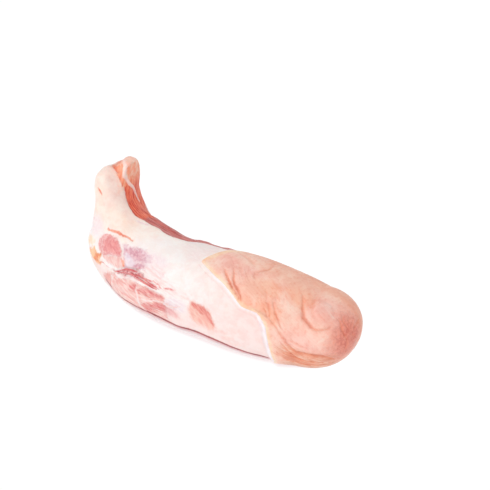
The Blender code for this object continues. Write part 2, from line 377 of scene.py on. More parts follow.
    def from_edge(self, p: np.ndarray) -> np.ndarray:
        """Distance in mm of the points p from the rind's edge, or edge_far where it isn't near."""
        angle = np.linspace(-180.0, 180.0, 1201)
        line = self.at(np.stack([self.rind_edge(angle)[0], angle], -1))
        flat = p.reshape(-1, 3)
        found = np.full(len(flat), self.edge_far)
        close = np.abs(flat[:, 0] - self.rind_edge(self.angle_of(flat))[0]) < self.edge_reach
        near = flat[close]
        batch = 2000
        found[close] = np.concatenate([
            np.sqrt(((near[i:i + batch, None] - line[None])**2).sum(-1)).min(axis=1)
            for i in range(0, len(near), batch)])
        return found.reshape(p.shape[:-1])

    def profile(self, station: np.ndarray, tilt: np.ndarray, angle: np.ndarray) -> np.ndarray:
        """Points of the form along a fan of rays.

        Args:
            station: Station each ray leaves from, one row a ring, one column an angle.
            tilt: Tilt of each ring's rays towards the tip, in degrees.
            angle: Angle of each column.

        Returns:
            The points, ring by ring.
        """
        tilt = np.radians(tilt)[:, None]
        turn = np.radians(np.broadcast_to(angle, station.shape))
        direction = np.stack([np.sin(tilt) + 0 * turn, -np.cos(tilt) * np.sin(turn),
                              np.cos(tilt) * np.cos(turn)], -1)
        origin = np.stack([station, self.core_y(station), np.full_like(station, self.core_z)], -1)
        return self.cast(origin, direction)

    def place(self, p: np.ndarray) -> np.ndarray:
        """Finished points in the part's frame, flat where they touch the table, in metres."""
        q = p.copy()
        q[..., 2] = np.where(q[..., 2] < self.flat_z, 0.0, q[..., 2] - self.flat_z)
        q[..., 0] += self.shift[0]
        q[..., 1] += self.shift[1]
        return q * MM


def resample(points: np.ndarray, share: np.ndarray) -> np.ndarray:
    """Respace each column of points along its own length.

    Args:
        points: Rings of points.
        share: Wanted places as shares of the length, from 0 to 1.

    Returns:
        The new rings.
    """
    length = np.linalg.norm(np.diff(points, axis=0), axis=-1)
    arc = np.vstack([np.zeros(points.shape[1]), np.cumsum(length, axis=0)])
    out = np.empty((len(share),) + points.shape[1:])
    for k in range(points.shape[1]):
        for axis in range(3):
            out[:, k, axis] = np.interp(share * arc[-1, k], arc[:, k], points[:, k, axis])
    return out


# ------------------------------------------------------------------ relief and masks
@dataclass(frozen=True)
class Stroke:
    """A fold, slit, crease or strand drawn along the surface, thinner towards its ends."""

    height: float
    half_width: float
    marks: Path
    # How strongly the line is tinted darker orange: partly its own colour, partly painted shade in the
    # groove.
    tint: float = 0.0


@dataclass(frozen=True)
class Lobe:
    """An oval muscle, pad or tinted spot lying on the surface."""

    station: float
    angle: float
    half_length: float
    half_width: float
    turn: float = 0.0
    height: float = 0.0


def ends_thin(share: np.ndarray) -> np.ndarray:
    """1 in the middle of a line and 0 at its ends, for places given as shares of its length."""
    return np.sqrt(np.clip(4.0 * share * (1.0 - share), 0.0, 1.0))


def reach_to(p: np.ndarray, line: np.ndarray) -> tuple[np.ndarray, np.ndarray]:
    """Distance of points from a line and how far along it the nearest place is.

    Args:
        p: The points.
        line: Points of the line.

    Returns:
        The distance of every point, and its share of the line's length.
    """
    best, share = np.full(p.shape[:-1], FAR_AWAY), np.zeros(p.shape[:-1])
    lengths = np.linalg.norm(np.diff(line, axis=0), axis=1)
    done = 0.0
    for a, b, length in zip(line[:-1], line[1:], lengths):
        t = np.clip(((p - a) @ (b - a)) / (length * length), 0.0, 1.0)
        distance = np.linalg.norm(p - a - t[..., None] * (b - a), axis=-1)
        closer = distance < best
        best = np.where(closer, distance, best)
        share = np.where(closer, (done + t * length) / lengths.sum(), share)
        done += length
    return best, share


class Relief:
    """Measures strokes, lobes and areas on a set of surface points."""

    outside = -30.0
    depth_reach = 14.0
    # Size of the bends in mm and how far they push, first the broad ones and then the fine ones.
    bends = ((5.5, 0.8), (1.6, 0.35))

    def __init__(self, form: TailForm, points: np.ndarray) -> None:
        """Keep the form and the points, pushed about along the surface so that outlines come out uneven."""
        self.form = form
        self.points = points
        self.normal = form.normals(points)
        bent = points
        for size, reach in self.bends:
            bent = wander(bent, size, reach)
        push = bent - points
        self.loose = points + push - self.normal * np.sum(push * self.normal, axis=-1, keepdims=True)

    def close_to(self, line: np.ndarray, margin: float) -> np.ndarray:
        """Which points lie in the box round a line, widened by a margin in mm."""
        low, high = line.min(axis=0) - margin, line.max(axis=0) + margin
        return np.all((self.loose > low) & (self.loose < high), axis=-1)

    def to_line(self, line: np.ndarray, margin: float = 7.0) -> tuple[np.ndarray, np.ndarray]:
        """Distance from a line in space and how far along it the nearest place is.

        Args:
            line: Points of the line, in mm.
            margin: How far from the line distances are needed, in mm.

        Returns:
            The distance of every point in mm, and its share of the line's length.
        """
        near = self.close_to(line, margin)
        distances, shares = np.full(near.shape, FAR_AWAY), np.zeros(near.shape)
        distances[near], shares[near] = reach_to(self.loose[near], line)
        return distances, shares

    def stroke(self, stroke: Stroke) -> np.ndarray:
        """Strength of a stroke: 1 on its line, fading over its half width and towards its ends."""
        distance, share = self.to_line(self.form.at(rounded(stroke.marks)))
        thin = 0.25 + 0.75 * ends_thin(share)
        return thin * np.exp(-(distance / (stroke.half_width * thin))**2)

    def line(self, line: np.ndarray, half: float) -> np.ndarray:
        """Signed distance in mm to the rim of a band that thins towards its ends."""
        distance, share = self.to_line(line)
        return half * (0.3 + 0.7 * ends_thin(share)) - distance

    def oval(self, lobe: Lobe) -> np.ndarray:
        """Signed distance in mm to a lobe's rim, positive inside it."""
        marks = np.array([lobe.station, lobe.angle]) + [(0, 0), (1, 0), (-1, 0), (0, 3), (0, -3)]
        middle, ahead, behind, down, up = self.form.at(marks)
        length = (ahead - behind) / np.linalg.norm(ahead - behind)
        across = down - up
        across -= length * (across @ length)
        across /= np.linalg.norm(across)
        t = math.radians(lobe.turn)
        d = self.loose - middle
        u = d @ (math.cos(t) * length + math.sin(t) * across)
        v = d @ (math.cos(t) * across - math.sin(t) * length)
        w = d @ np.cross(length, across)
        r = np.sqrt((u / lobe.half_length)**2 + (v / lobe.half_width)**2 + (w / self.depth_reach)**2)
        return (1.0 - r) * min(lobe.half_length, lobe.half_width)

    def dome(self, lobe: Lobe) -> np.ndarray:
        """A lobe's soft dome: 0 at its rim and 1 near its middle."""
        return ease(1.5 * (self.oval(lobe) / min(lobe.half_length, lobe.half_width)))

    def area(self, marks: Path, margin: float = 12.0) -> np.ndarray:
        """Signed distance in mm to a smooth outline, positive inside it."""
        corners = self.form.at(rounded(marks, closed=True, steps=3))
        near = self.close_to(corners, margin)
        middle = corners.mean(axis=0)
        _, _, axes = np.linalg.svd(corners - middle)
        flat = (self.loose[near] - middle) @ axes[:2].T
        depth = np.abs((self.loose[near] - middle) @ axes[2])
        outline = (corners - middle) @ axes[:2].T
        best, inside = np.full(len(flat), FAR_AWAY), np.zeros(len(flat), bool)
        tiny = 1e-9
        for a, b in zip(outline, np.roll(outline, -1, axis=0)):
            ab = b - a
            t = np.clip(((flat - a) @ ab) / max(ab @ ab, tiny), 0.0, 1.0)
            best = np.minimum(best, np.linalg.norm(flat - a - t[..., None] * ab, axis=-1))
            crosses = (a[1] > flat[..., 1]) != (b[1] > flat[..., 1])
            at_x = a[0] + ab[0] * (flat[..., 1] - a[1]) / (ab[1] if abs(ab[1]) > tiny else tiny)
            inside ^= crosses & (flat[..., 0] < at_x)
        found = np.full(near.shape, self.outside)
        found[near] = np.where(inside, best, -best) - np.maximum(depth - self.depth_reach, 0.0)
        return found


def fan(first: Path, last: Path, count: int, seed: int) -> list[Path]:
    """Paths spread from one path to another, each a little uneven in place and length.

    Args:
        first: The first path.
        last: The last path.
        count: How many paths, both ends included.
        seed: Seed of the unevenness.

    Returns:
        The paths.
    """
    rng = np.random.default_rng(seed)
    a, b = np.array(first, float), np.array(last, float)
    paths = []
    for t in np.linspace(0.0, 1.0, count):
        path = a + (b - a) * (t + rng.normal(0.0, 0.25 / count))
        start, stop = rng.uniform(-0.1, 0.25), rng.uniform(0.75, 1.1)
        at = np.linspace(start, stop, len(path)) * (len(path) - 1)
        whole = np.clip(at.astype(int), 0, len(path) - 2)
        path = path[whole] + (path[whole + 1] - path[whole]) * (at - whole)[:, None]
        paths.append(tuple(map(tuple, path + rng.normal(0.0, 0.35, path.shape))))
    return paths


# ------------------------------------------------------------------ meshes
def closed_mesh(name: str, rings: np.ndarray, first: np.ndarray, last: np.ndarray) -> bpy.types.Mesh:
    """A mesh from rings of points, closed by a fan at each end.

    Args:
        name: Name of the mesh.
        rings: Rings of points, in metres.
        first: Point that closes the first ring.
        last: Point that closes the last ring.

    Returns:
        The mesh, smooth shaded.
    """
    count, around = rings.shape[:2]
    points = np.vstack([rings.reshape(-1, 3), first, last])
    i, j = np.meshgrid(np.arange(count - 1), np.arange(around), indexing="ij")
    k = (j + 1) % around
    quads = np.stack([i * around + j, (i + 1) * around + j, (i + 1) * around + k, i * around + k], -1)
    j = np.arange(around)
    k = (j + 1) % around
    end, pole = (count - 1) * around, count * around
    caps = [(pole, a, b) for a, b in zip(j, k)] + [(end + a, pole + 1, end + b) for a, b in zip(j, k)]
    mesh = bpy.data.meshes.new(name)
    mesh.from_pydata(points.tolist(), [], quads.reshape(-1, 4).tolist() + [tuple(map(int, c)) for c in caps])
    mesh.validate()
    mesh.shade_smooth()
    return mesh


def write_attribute(mesh: bpy.types.Mesh, name: str, values: np.ndarray) -> None:
    """Store a value or a vector for each point; the two closing points take their neighbours'.

    Args:
        mesh: The mesh.
        name: Name of the attribute.
        values: One value or vector for each ring point.
    """
    flat = values.reshape(-1, 3) if values.ndim == 3 else values.reshape(-1)
    flat = np.concatenate([flat, flat[:1], flat[-1:]])
    kind, key = ("FLOAT_VECTOR", "vector") if flat.ndim == 2 else ("FLOAT", "value")
    mesh.attributes.new(name, kind, "POINT").data.foreach_set(key, flat.astype(np.float32).ravel())


def link(name: str, data: bpy.types.ID) -> bpy.types.Object:
    """Make an object from data and put it in the scene."""
    piece = bpy.data.objects.new(name, data)
    bpy.context.scene.collection.objects.link(piece)
    return piece


# ------------------------------------------------------------------ Geometry Nodes
class GeometryTree:
    """A Geometry Nodes tree with named inputs, applied to an object as a plain mesh."""

    def __init__(self, name: str) -> None:
        """Start an empty tree with a geometry input and output."""
        self.tree = bpy.data.node_groups.new(name, "GeometryNodeTree")
        self.tree.interface.new_socket("Geometry", in_out="INPUT", socket_type="NodeSocketGeometry")
        self.tree.interface.new_socket("Geometry", in_out="OUTPUT", socket_type="NodeSocketGeometry")
        self.given = self.tree.nodes.new("NodeGroupInput")
        self.taken = self.tree.nodes.new("NodeGroupOutput")
        self.values: dict[str, float | int | bpy.types.Material] = {}

    def size(self, name: str, value: float, kind: str = "NodeSocketFloat") -> bpy.types.NodeSocket:
        """Add a named input and the value it gets.

        Args:
            name: Name of the input.
            value: Its value on the object.
            kind: Socket type.

        Returns:
            The socket to link from.
        """
        item = self.tree.interface.new_socket(name, in_out="INPUT", socket_type=kind)
        self.values[item.identifier] = value
        return self.given.outputs[name]

    def node(self, kind: str, **settings: object) -> bpy.types.Node:
        """Add a node and set its properties."""
        node = self.tree.nodes.new(kind)
        for key, value in settings.items():
            setattr(node, key, value)
        return node

    def join(self, source: bpy.types.NodeSocket, target: bpy.types.NodeSocket) -> None:
        """Link two sockets."""
        self.tree.links.new(source, target)

    def math(self, operation: str, a: object, b: object) -> bpy.types.NodeSocket:
        """A math node on two numbers or sockets."""
        node = self.node("ShaderNodeMath", operation=operation)
        for socket, value in zip(node.inputs, (a, b)):
            if isinstance(value, bpy.types.NodeSocket):
                self.join(value, socket)
            else:
                socket.default_value = value
        return node.outputs[0]

    def noise(self, vector: bpy.types.NodeSocket, size: bpy.types.NodeSocket,
              detail: float) -> bpy.types.NodeSocket:
        """Noise centred on 0, with features of the given size in the vector's unit."""
        scale = self.math("DIVIDE", 1.0, size)
        node = self.node("ShaderNodeTexNoise")
        node.inputs["Detail"].default_value = detail
        self.join(vector, node.inputs["Vector"])
        self.join(scale, node.inputs["Scale"])
        return self.math("SUBTRACT", node.outputs["Fac"], 0.5)

    def finish(self, geometry: bpy.types.NodeSocket, material: bpy.types.NodeSocket) -> None:
        """End the tree in Realize Instances and Set Material."""
        real = self.node("GeometryNodeRealizeInstances")
        dress = self.node("GeometryNodeSetMaterial")
        self.join(geometry, real.inputs[0])
        self.join(real.outputs[0], dress.inputs["Geometry"])
        self.join(material, dress.inputs["Material"])
        self.join(dress.outputs[0], self.taken.inputs[0])

    def apply(self, piece: bpy.types.Object) -> bpy.types.Object:
        """Run the tree on an object and leave the result as a plain mesh.

        Args:
            piece: The object, a mesh or a curve.

        Returns:
            A mesh object with the same name.
        """
        name = piece.name
        modifier = piece.modifiers.new("shape", "NODES")
        modifier.node_group = self.tree
        for identifier, value in self.values.items():
            modifier[identifier] = value
        bpy.context.view_layer.update()
        source = piece.evaluated_get(bpy.context.evaluated_depsgraph_get())
        mesh = bpy.data.meshes.new_from_object(source)
        piece.modifiers.clear()
        bpy.data.objects.remove(piece, do_unlink=True)
        mesh.name = name
        return link(name, mesh)


# ------------------------------------------------------------------ shading
class Grain(Enum):
    """How a tone varies over its area."""

    CLOUD = "soft clouds"
    MOTTLE = "small uneven patches"
    ALONG = "lines along the tail"
    SLANT = "lines slanting down the side"
    STEEP = "lines running steeply down the side"
    AROUND = "lines round the tail"


# Turn of the lines in degrees, how much longer than wide they are, and how many there are in a mm.
LINES_OF = {Grain.ALONG: (0.0, 6.0, 0.8), Grain.SLANT: (14.0, 4.5, 0.7), Grain.STEEP: (42.0, 4.0, 0.7),
            Grain.AROUND: (75.0, 5.0, 0.7)}


@dataclass(frozen=True)
class Tone:
    """Two colours that a surface wanders between, 0 to 255."""

    light: Triple
    dark: Triple


@dataclass(frozen=True)
class Layer:
    """One tone laid over what is under it, inside a mask given in mm.

    The numbers are how soft and how ragged its border is in mm, how strongly it covers, 0 to 1, and how
    deep its grain is as relief, in mm.
    """

    mask: str
    tone: Tone
    grain: Grain = Grain.CLOUD
    soft: float = 0.8
    ragged: float = 0.6
    strength: float = 1.0
    depth: float = 0.0


class Sheet:
    """A material's node sheet, with short names for the nodes this object needs."""

    def __init__(self, name: str) -> None:
        """Start a material that uses nodes."""
        self.material = bpy.data.materials.new(name)
        self.material.use_nodes = True
        self.tree = self.material.node_tree
        self.shader = self.tree.nodes["Principled BSDF"]
        self.place = self.tree.nodes.new("ShaderNodeTexCoord").outputs["Object"]

    def set(self, socket: bpy.types.NodeSocket, value: object) -> None:
        """Link a socket or set its value."""
        if isinstance(value, bpy.types.NodeSocket):
            self.tree.links.new(value, socket)
        else:
            socket.default_value = value

    def attribute(self, name: str, output: str = "Fac") -> bpy.types.NodeSocket:
        """A number or, from the Vector output, a vector stored on the piece."""
        node = self.tree.nodes.new("ShaderNodeAttribute")
        node.attribute_name = name
        return node.outputs[output]

    def math(self, operation: str, a: object, b: object = 0.0, third: object = 0.0) -> bpy.types.NodeSocket:
        """A math node on numbers or sockets."""
        node = self.tree.nodes.new("ShaderNodeMath")
        node.operation = operation
        for socket, value in zip(node.inputs, (a, b, third)):
            self.set(socket, value)
        return node.outputs[0]

    def stretch(self, vector: bpy.types.NodeSocket, scale: Triple, turn: float) -> bpy.types.NodeSocket:
        """A vector turned about its third axis, then scaled."""
        node = self.tree.nodes.new("ShaderNodeMapping")
        node.vector_type = "TEXTURE"
        self.set(node.inputs["Vector"], vector)
        node.inputs["Rotation"].default_value = (0.0, 0.0, math.radians(turn))
        node.inputs["Scale"].default_value = tuple(1.0 / s for s in scale)
        return node.outputs[0]

    def noise(self, vector: bpy.types.NodeSocket, scale: float, detail: float = 3.0,
              rough: float = 0.55, warp: float = 0.0) -> bpy.types.NodeSocket:
        """Noise from 0 to 1."""
        node = self.tree.nodes.new("ShaderNodeTexNoise")
        self.set(node.inputs["Vector"], vector)
        node.inputs["Scale"].default_value = scale
        node.inputs["Detail"].default_value = detail
        node.inputs["Roughness"].default_value = rough
        node.inputs["Distortion"].default_value = warp
        return node.outputs["Fac"]

    def between(self, value: object, low: float, high: float) -> bpy.types.NodeSocket:
        """Smooth step of a value from low (0) to high (1)."""
        node = self.tree.nodes.new("ShaderNodeMapRange")
        node.interpolation_type = "SMOOTHSTEP"
        self.set(node.inputs["Value"], value)
        node.inputs["From Min"].default_value = low
        node.inputs["From Max"].default_value = high
        return node.outputs["Result"]

    def mix(self, factor: object, a: object, b: object, blend: str = "MIX") -> bpy.types.NodeSocket:
        """Mix of two colours."""
        node = self.tree.nodes.new("ShaderNodeMix")
        node.data_type = "RGBA"
        node.blend_type = blend
        self.set(node.inputs["Factor"], factor)
        self.set(node.inputs[6], a)
        self.set(node.inputs[7], b)
        return node.outputs[2]

    def tone(self, tone: Tone, value: object) -> bpy.types.NodeSocket:
        """A tone's colour for a value from 0 (dark) to 1 (light)."""
        return self.mix(value, linear(*tone.dark), linear(*tone.light))

    def bump(self, height: bpy.types.NodeSocket, distance: float,
             normal: bpy.types.NodeSocket | None = None) -> bpy.types.NodeSocket:
        """A bump from a height, on top of an earlier one where given."""
        node = self.tree.nodes.new("ShaderNodeBump")
        node.inputs["Distance"].default_value = distance
        node.inputs["Strength"].default_value = 1.0
        self.set(node.inputs["Height"], height)
        if normal is not None:
            self.set(node.inputs["Normal"], normal)
        return node.outputs[0]

    def finish(self, values: dict[str, object]) -> None:
        """Set or link the shader's inputs by name."""
        for name, value in values.items():
            self.set(self.shader.inputs[name], value)


@dataclass(frozen=True)
class Finish:
    """A moist animal surface: a ground tone with layers over it."""

    name: str
    ground: Tone
    layers: tuple[Layer, ...] = ()
    fleck: Triple = (244, 214, 208)
    fleck_strength: float = 0.25
    fleck_range: Mark = (0.5, 0.72)
    contrast: Mark = (0.36, 0.64)
    roughness: float = 0.42
    specular: float = 0.3
    scatter: float = 0.2
    scatter_mm: float = 1.0
    scatter_shares: Triple = (1.0, 0.5, 0.4)
    ragged_mm: float = 2.2
    ragged_gain: float = 3.0
    cloud_mm: float = 5.0
    mottle_mm: float = 1.6
    pore_mm: float = 0.7
    pore_depth: float = 0.07

    def grains(self, sheet: Sheet) -> dict[Grain, bpy.types.NodeSocket]:
        """Noise from 0 to 1 for every grain that the layers use."""
        sizes = {Grain.CLOUD: self.cloud_mm, Grain.MOTTLE: self.mottle_mm}
        found = {grain: sheet.noise(sheet.place, 1.0 / (size * MM), 4.0, 0.62, 0.2)
                 for grain, size in sizes.items()}
        used = {layer.grain for layer in self.layers}
        for grain, (turn, stretch, scale) in LINES_OF.items():
            if grain in used:
                run = sheet.stretch(sheet.attribute("run", "Vector"), (1.0 / stretch, 1.0, 1.0), turn)
                found[grain] = sheet.noise(run, scale, 4.0, 0.62, 0.5)
        return found

    def build(self) -> bpy.types.Material:
        """Build the material.

        Returns:
            The material.
        """
        sheet = Sheet(self.name)
        grains = self.grains(sheet)
        shades = {grain: sheet.between(value, *self.contrast) for grain, value in grains.items()}
        broad = sheet.math("SUBTRACT", sheet.noise(sheet.place, 1.0 / (self.ragged_mm * MM), 5.0, 0.7), 0.5)
        colour = sheet.tone(self.ground, shades[Grain.CLOUD])
        height: object = 0.0
        for layer in self.layers:
            inside = sheet.math("MULTIPLY_ADD", broad, layer.ragged * self.ragged_gain,
                                third=sheet.attribute(layer.mask))
            weight = sheet.math("MULTIPLY", sheet.between(inside, -layer.soft, layer.soft), layer.strength)
            colour = sheet.mix(weight, colour, sheet.tone(layer.tone, shades[layer.grain]))
            if layer.depth:
                part = sheet.math("MULTIPLY", weight, layer.depth)
                height = sheet.math("MULTIPLY_ADD", grains[layer.grain], part, third=height)
        spots = sheet.math("MULTIPLY", sheet.between(grains[Grain.MOTTLE], *self.fleck_range),
                           self.fleck_strength)
        colour = sheet.mix(spots, colour, linear(*self.fleck), "MULTIPLY")
        sheet.set(sheet.shader.inputs["Base Color"], colour)
        pores = sheet.noise(sheet.place, 1.0 / (self.pore_mm * MM), 3.0, 0.6)
        normal = sheet.bump(pores, self.pore_depth * MM)
        if height != 0.0:
            normal = sheet.bump(height, MM, normal)
        sheet.finish({"Normal": normal, "Roughness": self.roughness, "Specular IOR Level": self.specular,
                      "Subsurface Weight": self.scatter, "Subsurface Radius": self.scatter_shares,
                      "Subsurface Scale": self.scatter_mm * MM})
        return sheet.material


FLESH = Finish(
    name="tail_fat_and_lean",
    ground=Tone((252, 245, 243), (250, 239, 236)),
    fleck=(250, 226, 222),
    fleck_strength=0.16,
    layers=(
        # Painted shade: the fat pinker and darker towards the bottom and towards the rind.
        Layer("low_pink_shade", Tone((252, 228, 224), (249, 218, 213)), Grain.CLOUD, 9.0, 3.0, 0.9),
        Layer("warm_fat", Tone((254, 240, 230), (252, 230, 218)), Grain.CLOUD, 3.0, 2.0, 0.6),
        Layer("scuff", Tone((250, 232, 229), (241, 214, 212)), Grain.ALONG, 2.4, 3.0, 0.4, 0.1),
        # On the fat, tan is painted shade in the concave fold at the foot of the upturned flap, tinted
        # orange.
        Layer("tan", Tone((254, 226, 208), (251, 210, 190)), Grain.CLOUD, 1.2, 1.2, 0.75),
        Layer("flap", Tone((254, 233, 220), (252, 223, 208)), Grain.CLOUD, 6.0, 3.0, 0.8),
        Layer("flap_shade", Tone((244, 219, 210), (236, 204, 196)), Grain.CLOUD, 3.5, 2.2, 0.8),
        Layer("haze", Tone((248, 232, 235), (242, 216, 222)), Grain.MOTTLE, 2.6, 2.8, 0.6),
        Layer("smear", Tone((242, 216, 218), (228, 190, 196)), Grain.CLOUD, 0.8, 0.9, 0.75),
        Layer("cream", Tone((254, 236, 216), (252, 218, 186)), Grain.CLOUD, 1.4, 1.2, 0.85),
        Layer("streaks", Tone((252, 238, 236), (243, 206, 203)), Grain.SLANT, 2.6, 3.2, 0.7, 0.12),
        Layer("bluish", Tone((247, 240, 242), (238, 220, 226)), Grain.SLANT, 2.2, 2.2, 0.85),
        Layer("lower", Tone((253, 222, 215), (241, 174, 167)), Grain.SLANT, 0.7, 0.9, 1.0, 0.45),
        Layer("fade", Tone((244, 190, 188), (230, 162, 162)), Grain.SLANT, 2.0, 1.8, 0.9, 0.3),
        Layer("edge_red", Tone((246, 186, 176), (228, 140, 132)), Grain.SLANT, 1.3, 1.8, 0.9, 0.3),
        Layer("salmon", Tone((246, 172, 166), (226, 120, 122)), Grain.SLANT, 1.3, 2.2, 0.9, 0.4),
        Layer("mauve", Tone((240, 215, 220), (224, 180, 192)), Grain.MOTTLE, 1.5, 1.8, 0.92, 0.25),
        Layer("purple", Tone((234, 184, 193), (210, 142, 158)), Grain.MOTTLE, 1.6, 2.4, 0.8, 0.2),
        Layer("bluewhite", Tone((248, 238, 243), (236, 218, 228)), Grain.CLOUD, 0.8, 1.0, 0.8),
        Layer("pale", Tone((249, 216, 210), (238, 180, 174)), Grain.STEEP, 0.8, 0.9, 0.95, 0.25),
        Layer("rose", Tone((247, 200, 198), (231, 150, 150)), Grain.MOTTLE, 0.7, 1.0, 1.0, 0.3),
        Layer("rose_deep", Tone((242, 162, 158), (226, 128, 130)), Grain.STEEP, 1.6, 1.8, 0.7, 0.3),
        Layer("yellow", Tone((254, 204, 160), (248, 172, 120)), Grain.CLOUD, 0.7, 0.9, 0.95, 0.1),
        Layer("orange", Tone((244, 152, 104), (228, 112, 74)), Grain.MOTTLE, 0.9, 1.6, 0.8, 0.3),
        Layer("patch", Tone((251, 206, 192), (244, 178, 164)), Grain.STEEP, 1.6, 1.4, 0.95, 0.2),
        Layer("patch_deep", Tone((244, 166, 154), (230, 130, 121)), Grain.STEEP, 0.9, 1.3, 0.95, 0.35),
        Layer("stain", Tone((251, 218, 211), (246, 202, 195)), Grain.CLOUD, 1.2, 1.4, 0.65),
        Layer("cut", Tone((250, 232, 226), (243, 208, 200)), Grain.ALONG, 0.5, 0.35, 1.0, 0.2),
        Layer("far_lean", Tone((245, 188, 178), (224, 124, 116)), Grain.ALONG, 0.8, 2.2, 1.0, 0.4),
        Layer("end_lean", Tone((243, 176, 164), (224, 122, 112)), Grain.MOTTLE, 0.8, 1.8, 1.0, 0.4),
        # Lean along the crest, painted dark: partly its own red, partly painted shade.
        Layer("shaded_crest_lean", Tone((222, 128, 120), (188, 84, 80)), Grain.ALONG, 0.35, 0.15, 1.0, 0.3),
        Layer("flap_red", Tone((254, 136, 102), (220, 76, 54)), Grain.ALONG, 0.45, 0.4, 1.0, 0.35),
        Layer("flap_salmon", Tone((255, 196, 164), (250, 152, 118)), Grain.ALONG, 3.0, 2.0, 0.95, 0.2),
        Layer("flap_pale", Tone((255, 218, 198), (255, 172, 142)), Grain.ALONG, 2.0, 2.4, 0.95, 0.25),
        Layer("flap_top", Tone((255, 226, 214), (252, 206, 190)), Grain.CLOUD, 1.0, 1.6, 0.8),
        Layer("slit", Tone((251, 182, 160), (240, 140, 116)), Grain.CLOUD, 0.4, 0.35, 0.95),
        Layer("torn", Tone((246, 184, 182), (194, 76, 88)), Grain.MOTTLE, 1.2, 2.4, 0.95, 0.5),
        Layer("shreds", Tone((240, 152, 146), (222, 112, 112)), Grain.MOTTLE, 0.35, 0.8, 0.8),
        # Painted contact shadow where the near side turns under: pale fat shaded pink, painted shade, and a
        # dark red line that is partly the red underside.
        Layer("shaded_underside", Tone((250, 236, 236), (246, 230, 231)), Grain.CLOUD, 0.5, 0.3, 0.95),
        Layer("under_shade", Tone((224, 176, 178), (210, 158, 162)), Grain.CLOUD, 1.6, 0.3, 0.8),
        Layer("dark_red_contact_shadow", Tone((186, 70, 74), (140, 38, 44)), Grain.ALONG, 0.4, 0.3, 0.97),
        Layer("membrane", Tone((255, 244, 243), (253, 230, 229)), Grain.CLOUD, 0.35, 0.5, 0.62),
        Layer("seam", Tone((255, 228, 220), (250, 206, 198)), Grain.CLOUD, 0.35, 0.25, 0.95),
        Layer("rim", Tone((252, 244, 247), (248, 234, 240)), Grain.CLOUD, 0.5, 0.35, 0.9),
        # Painted shadow: a thin darker line along the outer border of the white rim.
        Layer("rim_shadow_line", Tone((244, 214, 210), (236, 196, 194)), Grain.CLOUD, 0.45, 0.6, 0.45),
    ),
)
RIND = Finish(
    name="tail_rind",
    ground=Tone((255, 214, 199), (249, 193, 175)),
    fleck=(247, 214, 200),
    fleck_strength=0.5,
    layers=(
        Layer("light", Tone((254, 222, 207), (251, 207, 190)), Grain.CLOUD, 4.0, 2.5, 0.85),
        Layer("pink", Tone((250, 204, 194), (243, 180, 169)), Grain.CLOUD, 4.5, 2.0, 0.8),
        Layer("warm", Tone((253, 188, 158), (248, 164, 132)), Grain.CLOUD, 2.8, 2.8, 0.85),
        Layer("tan", Tone((247, 198, 175), (240, 181, 157)), Grain.CLOUD, 4.0, 2.0, 0.7),
        # Painted shade: a darker tone along the top of the far side.
        Layer("far_top_shade", Tone((248, 184, 156), (240, 166, 138)), Grain.CLOUD, 4.0, 2.0, 0.85),
        Layer("fine_down", Tone((255, 216, 200), (244, 184, 162)), Grain.AROUND, 3.0, 2.0, 0.22, 0.12),
        # The low band: partly the rind's own orange-brown, partly painted shade on the lower side.
        Layer("low", Tone((251, 204, 180), (231, 158, 130)), Grain.SLANT, 2.4, 0.8, 0.95, 0.5),
        # Painted shade: the rind made dark brown close to the floor.
        Layer("near_floor_shade", Tone((192, 104, 78), (164, 80, 58)), Grain.MOTTLE, 4.0, 0.8, 0.9, 0.3),
        Layer("end", Tone((237, 150, 131), (211, 104, 90)), Grain.MOTTLE, 6.5, 2.4, 0.85, 0.25),
        # Creases tinted darker orange: partly their own deeper colour, partly painted shade in the grooves.
        Layer("fold", Tone((238, 150, 116), (216, 116, 88)), Grain.CLOUD, 0.40, 0.12, 0.66),
        # Thin lines painted paler than the skin round them.
        Layer("pale_streak", Tone((252, 224, 210), (250, 214, 200)), Grain.CLOUD, 0.4, 0.3, 0.5),
        Layer("cream_edge", Tone((255, 226, 200), (253, 208, 174)), Grain.CLOUD, 1.2, 1.3, 0.85),
        Layer("lip", Tone((255, 232, 214), (254, 218, 194)), Grain.CLOUD, 0.3, 0.1, 0.8),
    ),
    roughness=0.46,
    specular=0.2,
    cloud_mm=7.0,
)
PALE = Finish(name="pale_membrane", ground=Tone((253, 226, 222), (248, 206, 202)), fleck_strength=0.1)
TORN = Finish(name="torn_lean", ground=Tone((242, 160, 156), (212, 104, 112)))


# ------------------------------------------------------------------ what the surface shows
LOBES: dict[str, Lobe] = {
    "round_muscle": Lobe(-56.5, 43.0, 9.0, 7.0, -20.0, 1.0),
    "spongy_pad": Lobe(-37.0, 40.0, 13.0, 6.0, 5.0, -0.6),
    "lower_muscle": Lobe(-38.0, 90.0, 19.0, 10.0, -5.0, 0.8),
    "cut_patch": Lobe(9.5, 75.0, 9.5, 6.0, 45.0, -0.7),
    "far_muscle": Lobe(-38.0, -44.0, 17.0, 8.5, 8.0, 0.8),
    "far_oval_small": Lobe(-13.0, -44.0, 6.5, 4.5, 20.0, 0.6),
    "far_oval_large": Lobe(4.0, -52.0, 9.0, 5.5, 15.0, 0.6),
    "far_low_muscle": Lobe(-44.0, -86.0, 16.0, 8.0, 5.0, 0.4),
    "far_low_lobe": Lobe(-14.0, -82.0, 9.0, 6.0, -10.0, 0.5),
}
# The ovals of lean on the side that doesn't show.
FAR_LEAN = ("far_muscle", "far_oval_small", "far_oval_large", "far_low_muscle", "far_low_lobe")
# Ovals of lean on the face of the butt end: y, z, half width, half height, bulge.
END_LOBES = ((22.0, 27.0, 9.0, 11.0, 0.9), (10.0, 23.0, 4.0, 7.0, 0.5), (21.0, 50.0, 6.0, 8.0, 0.5))
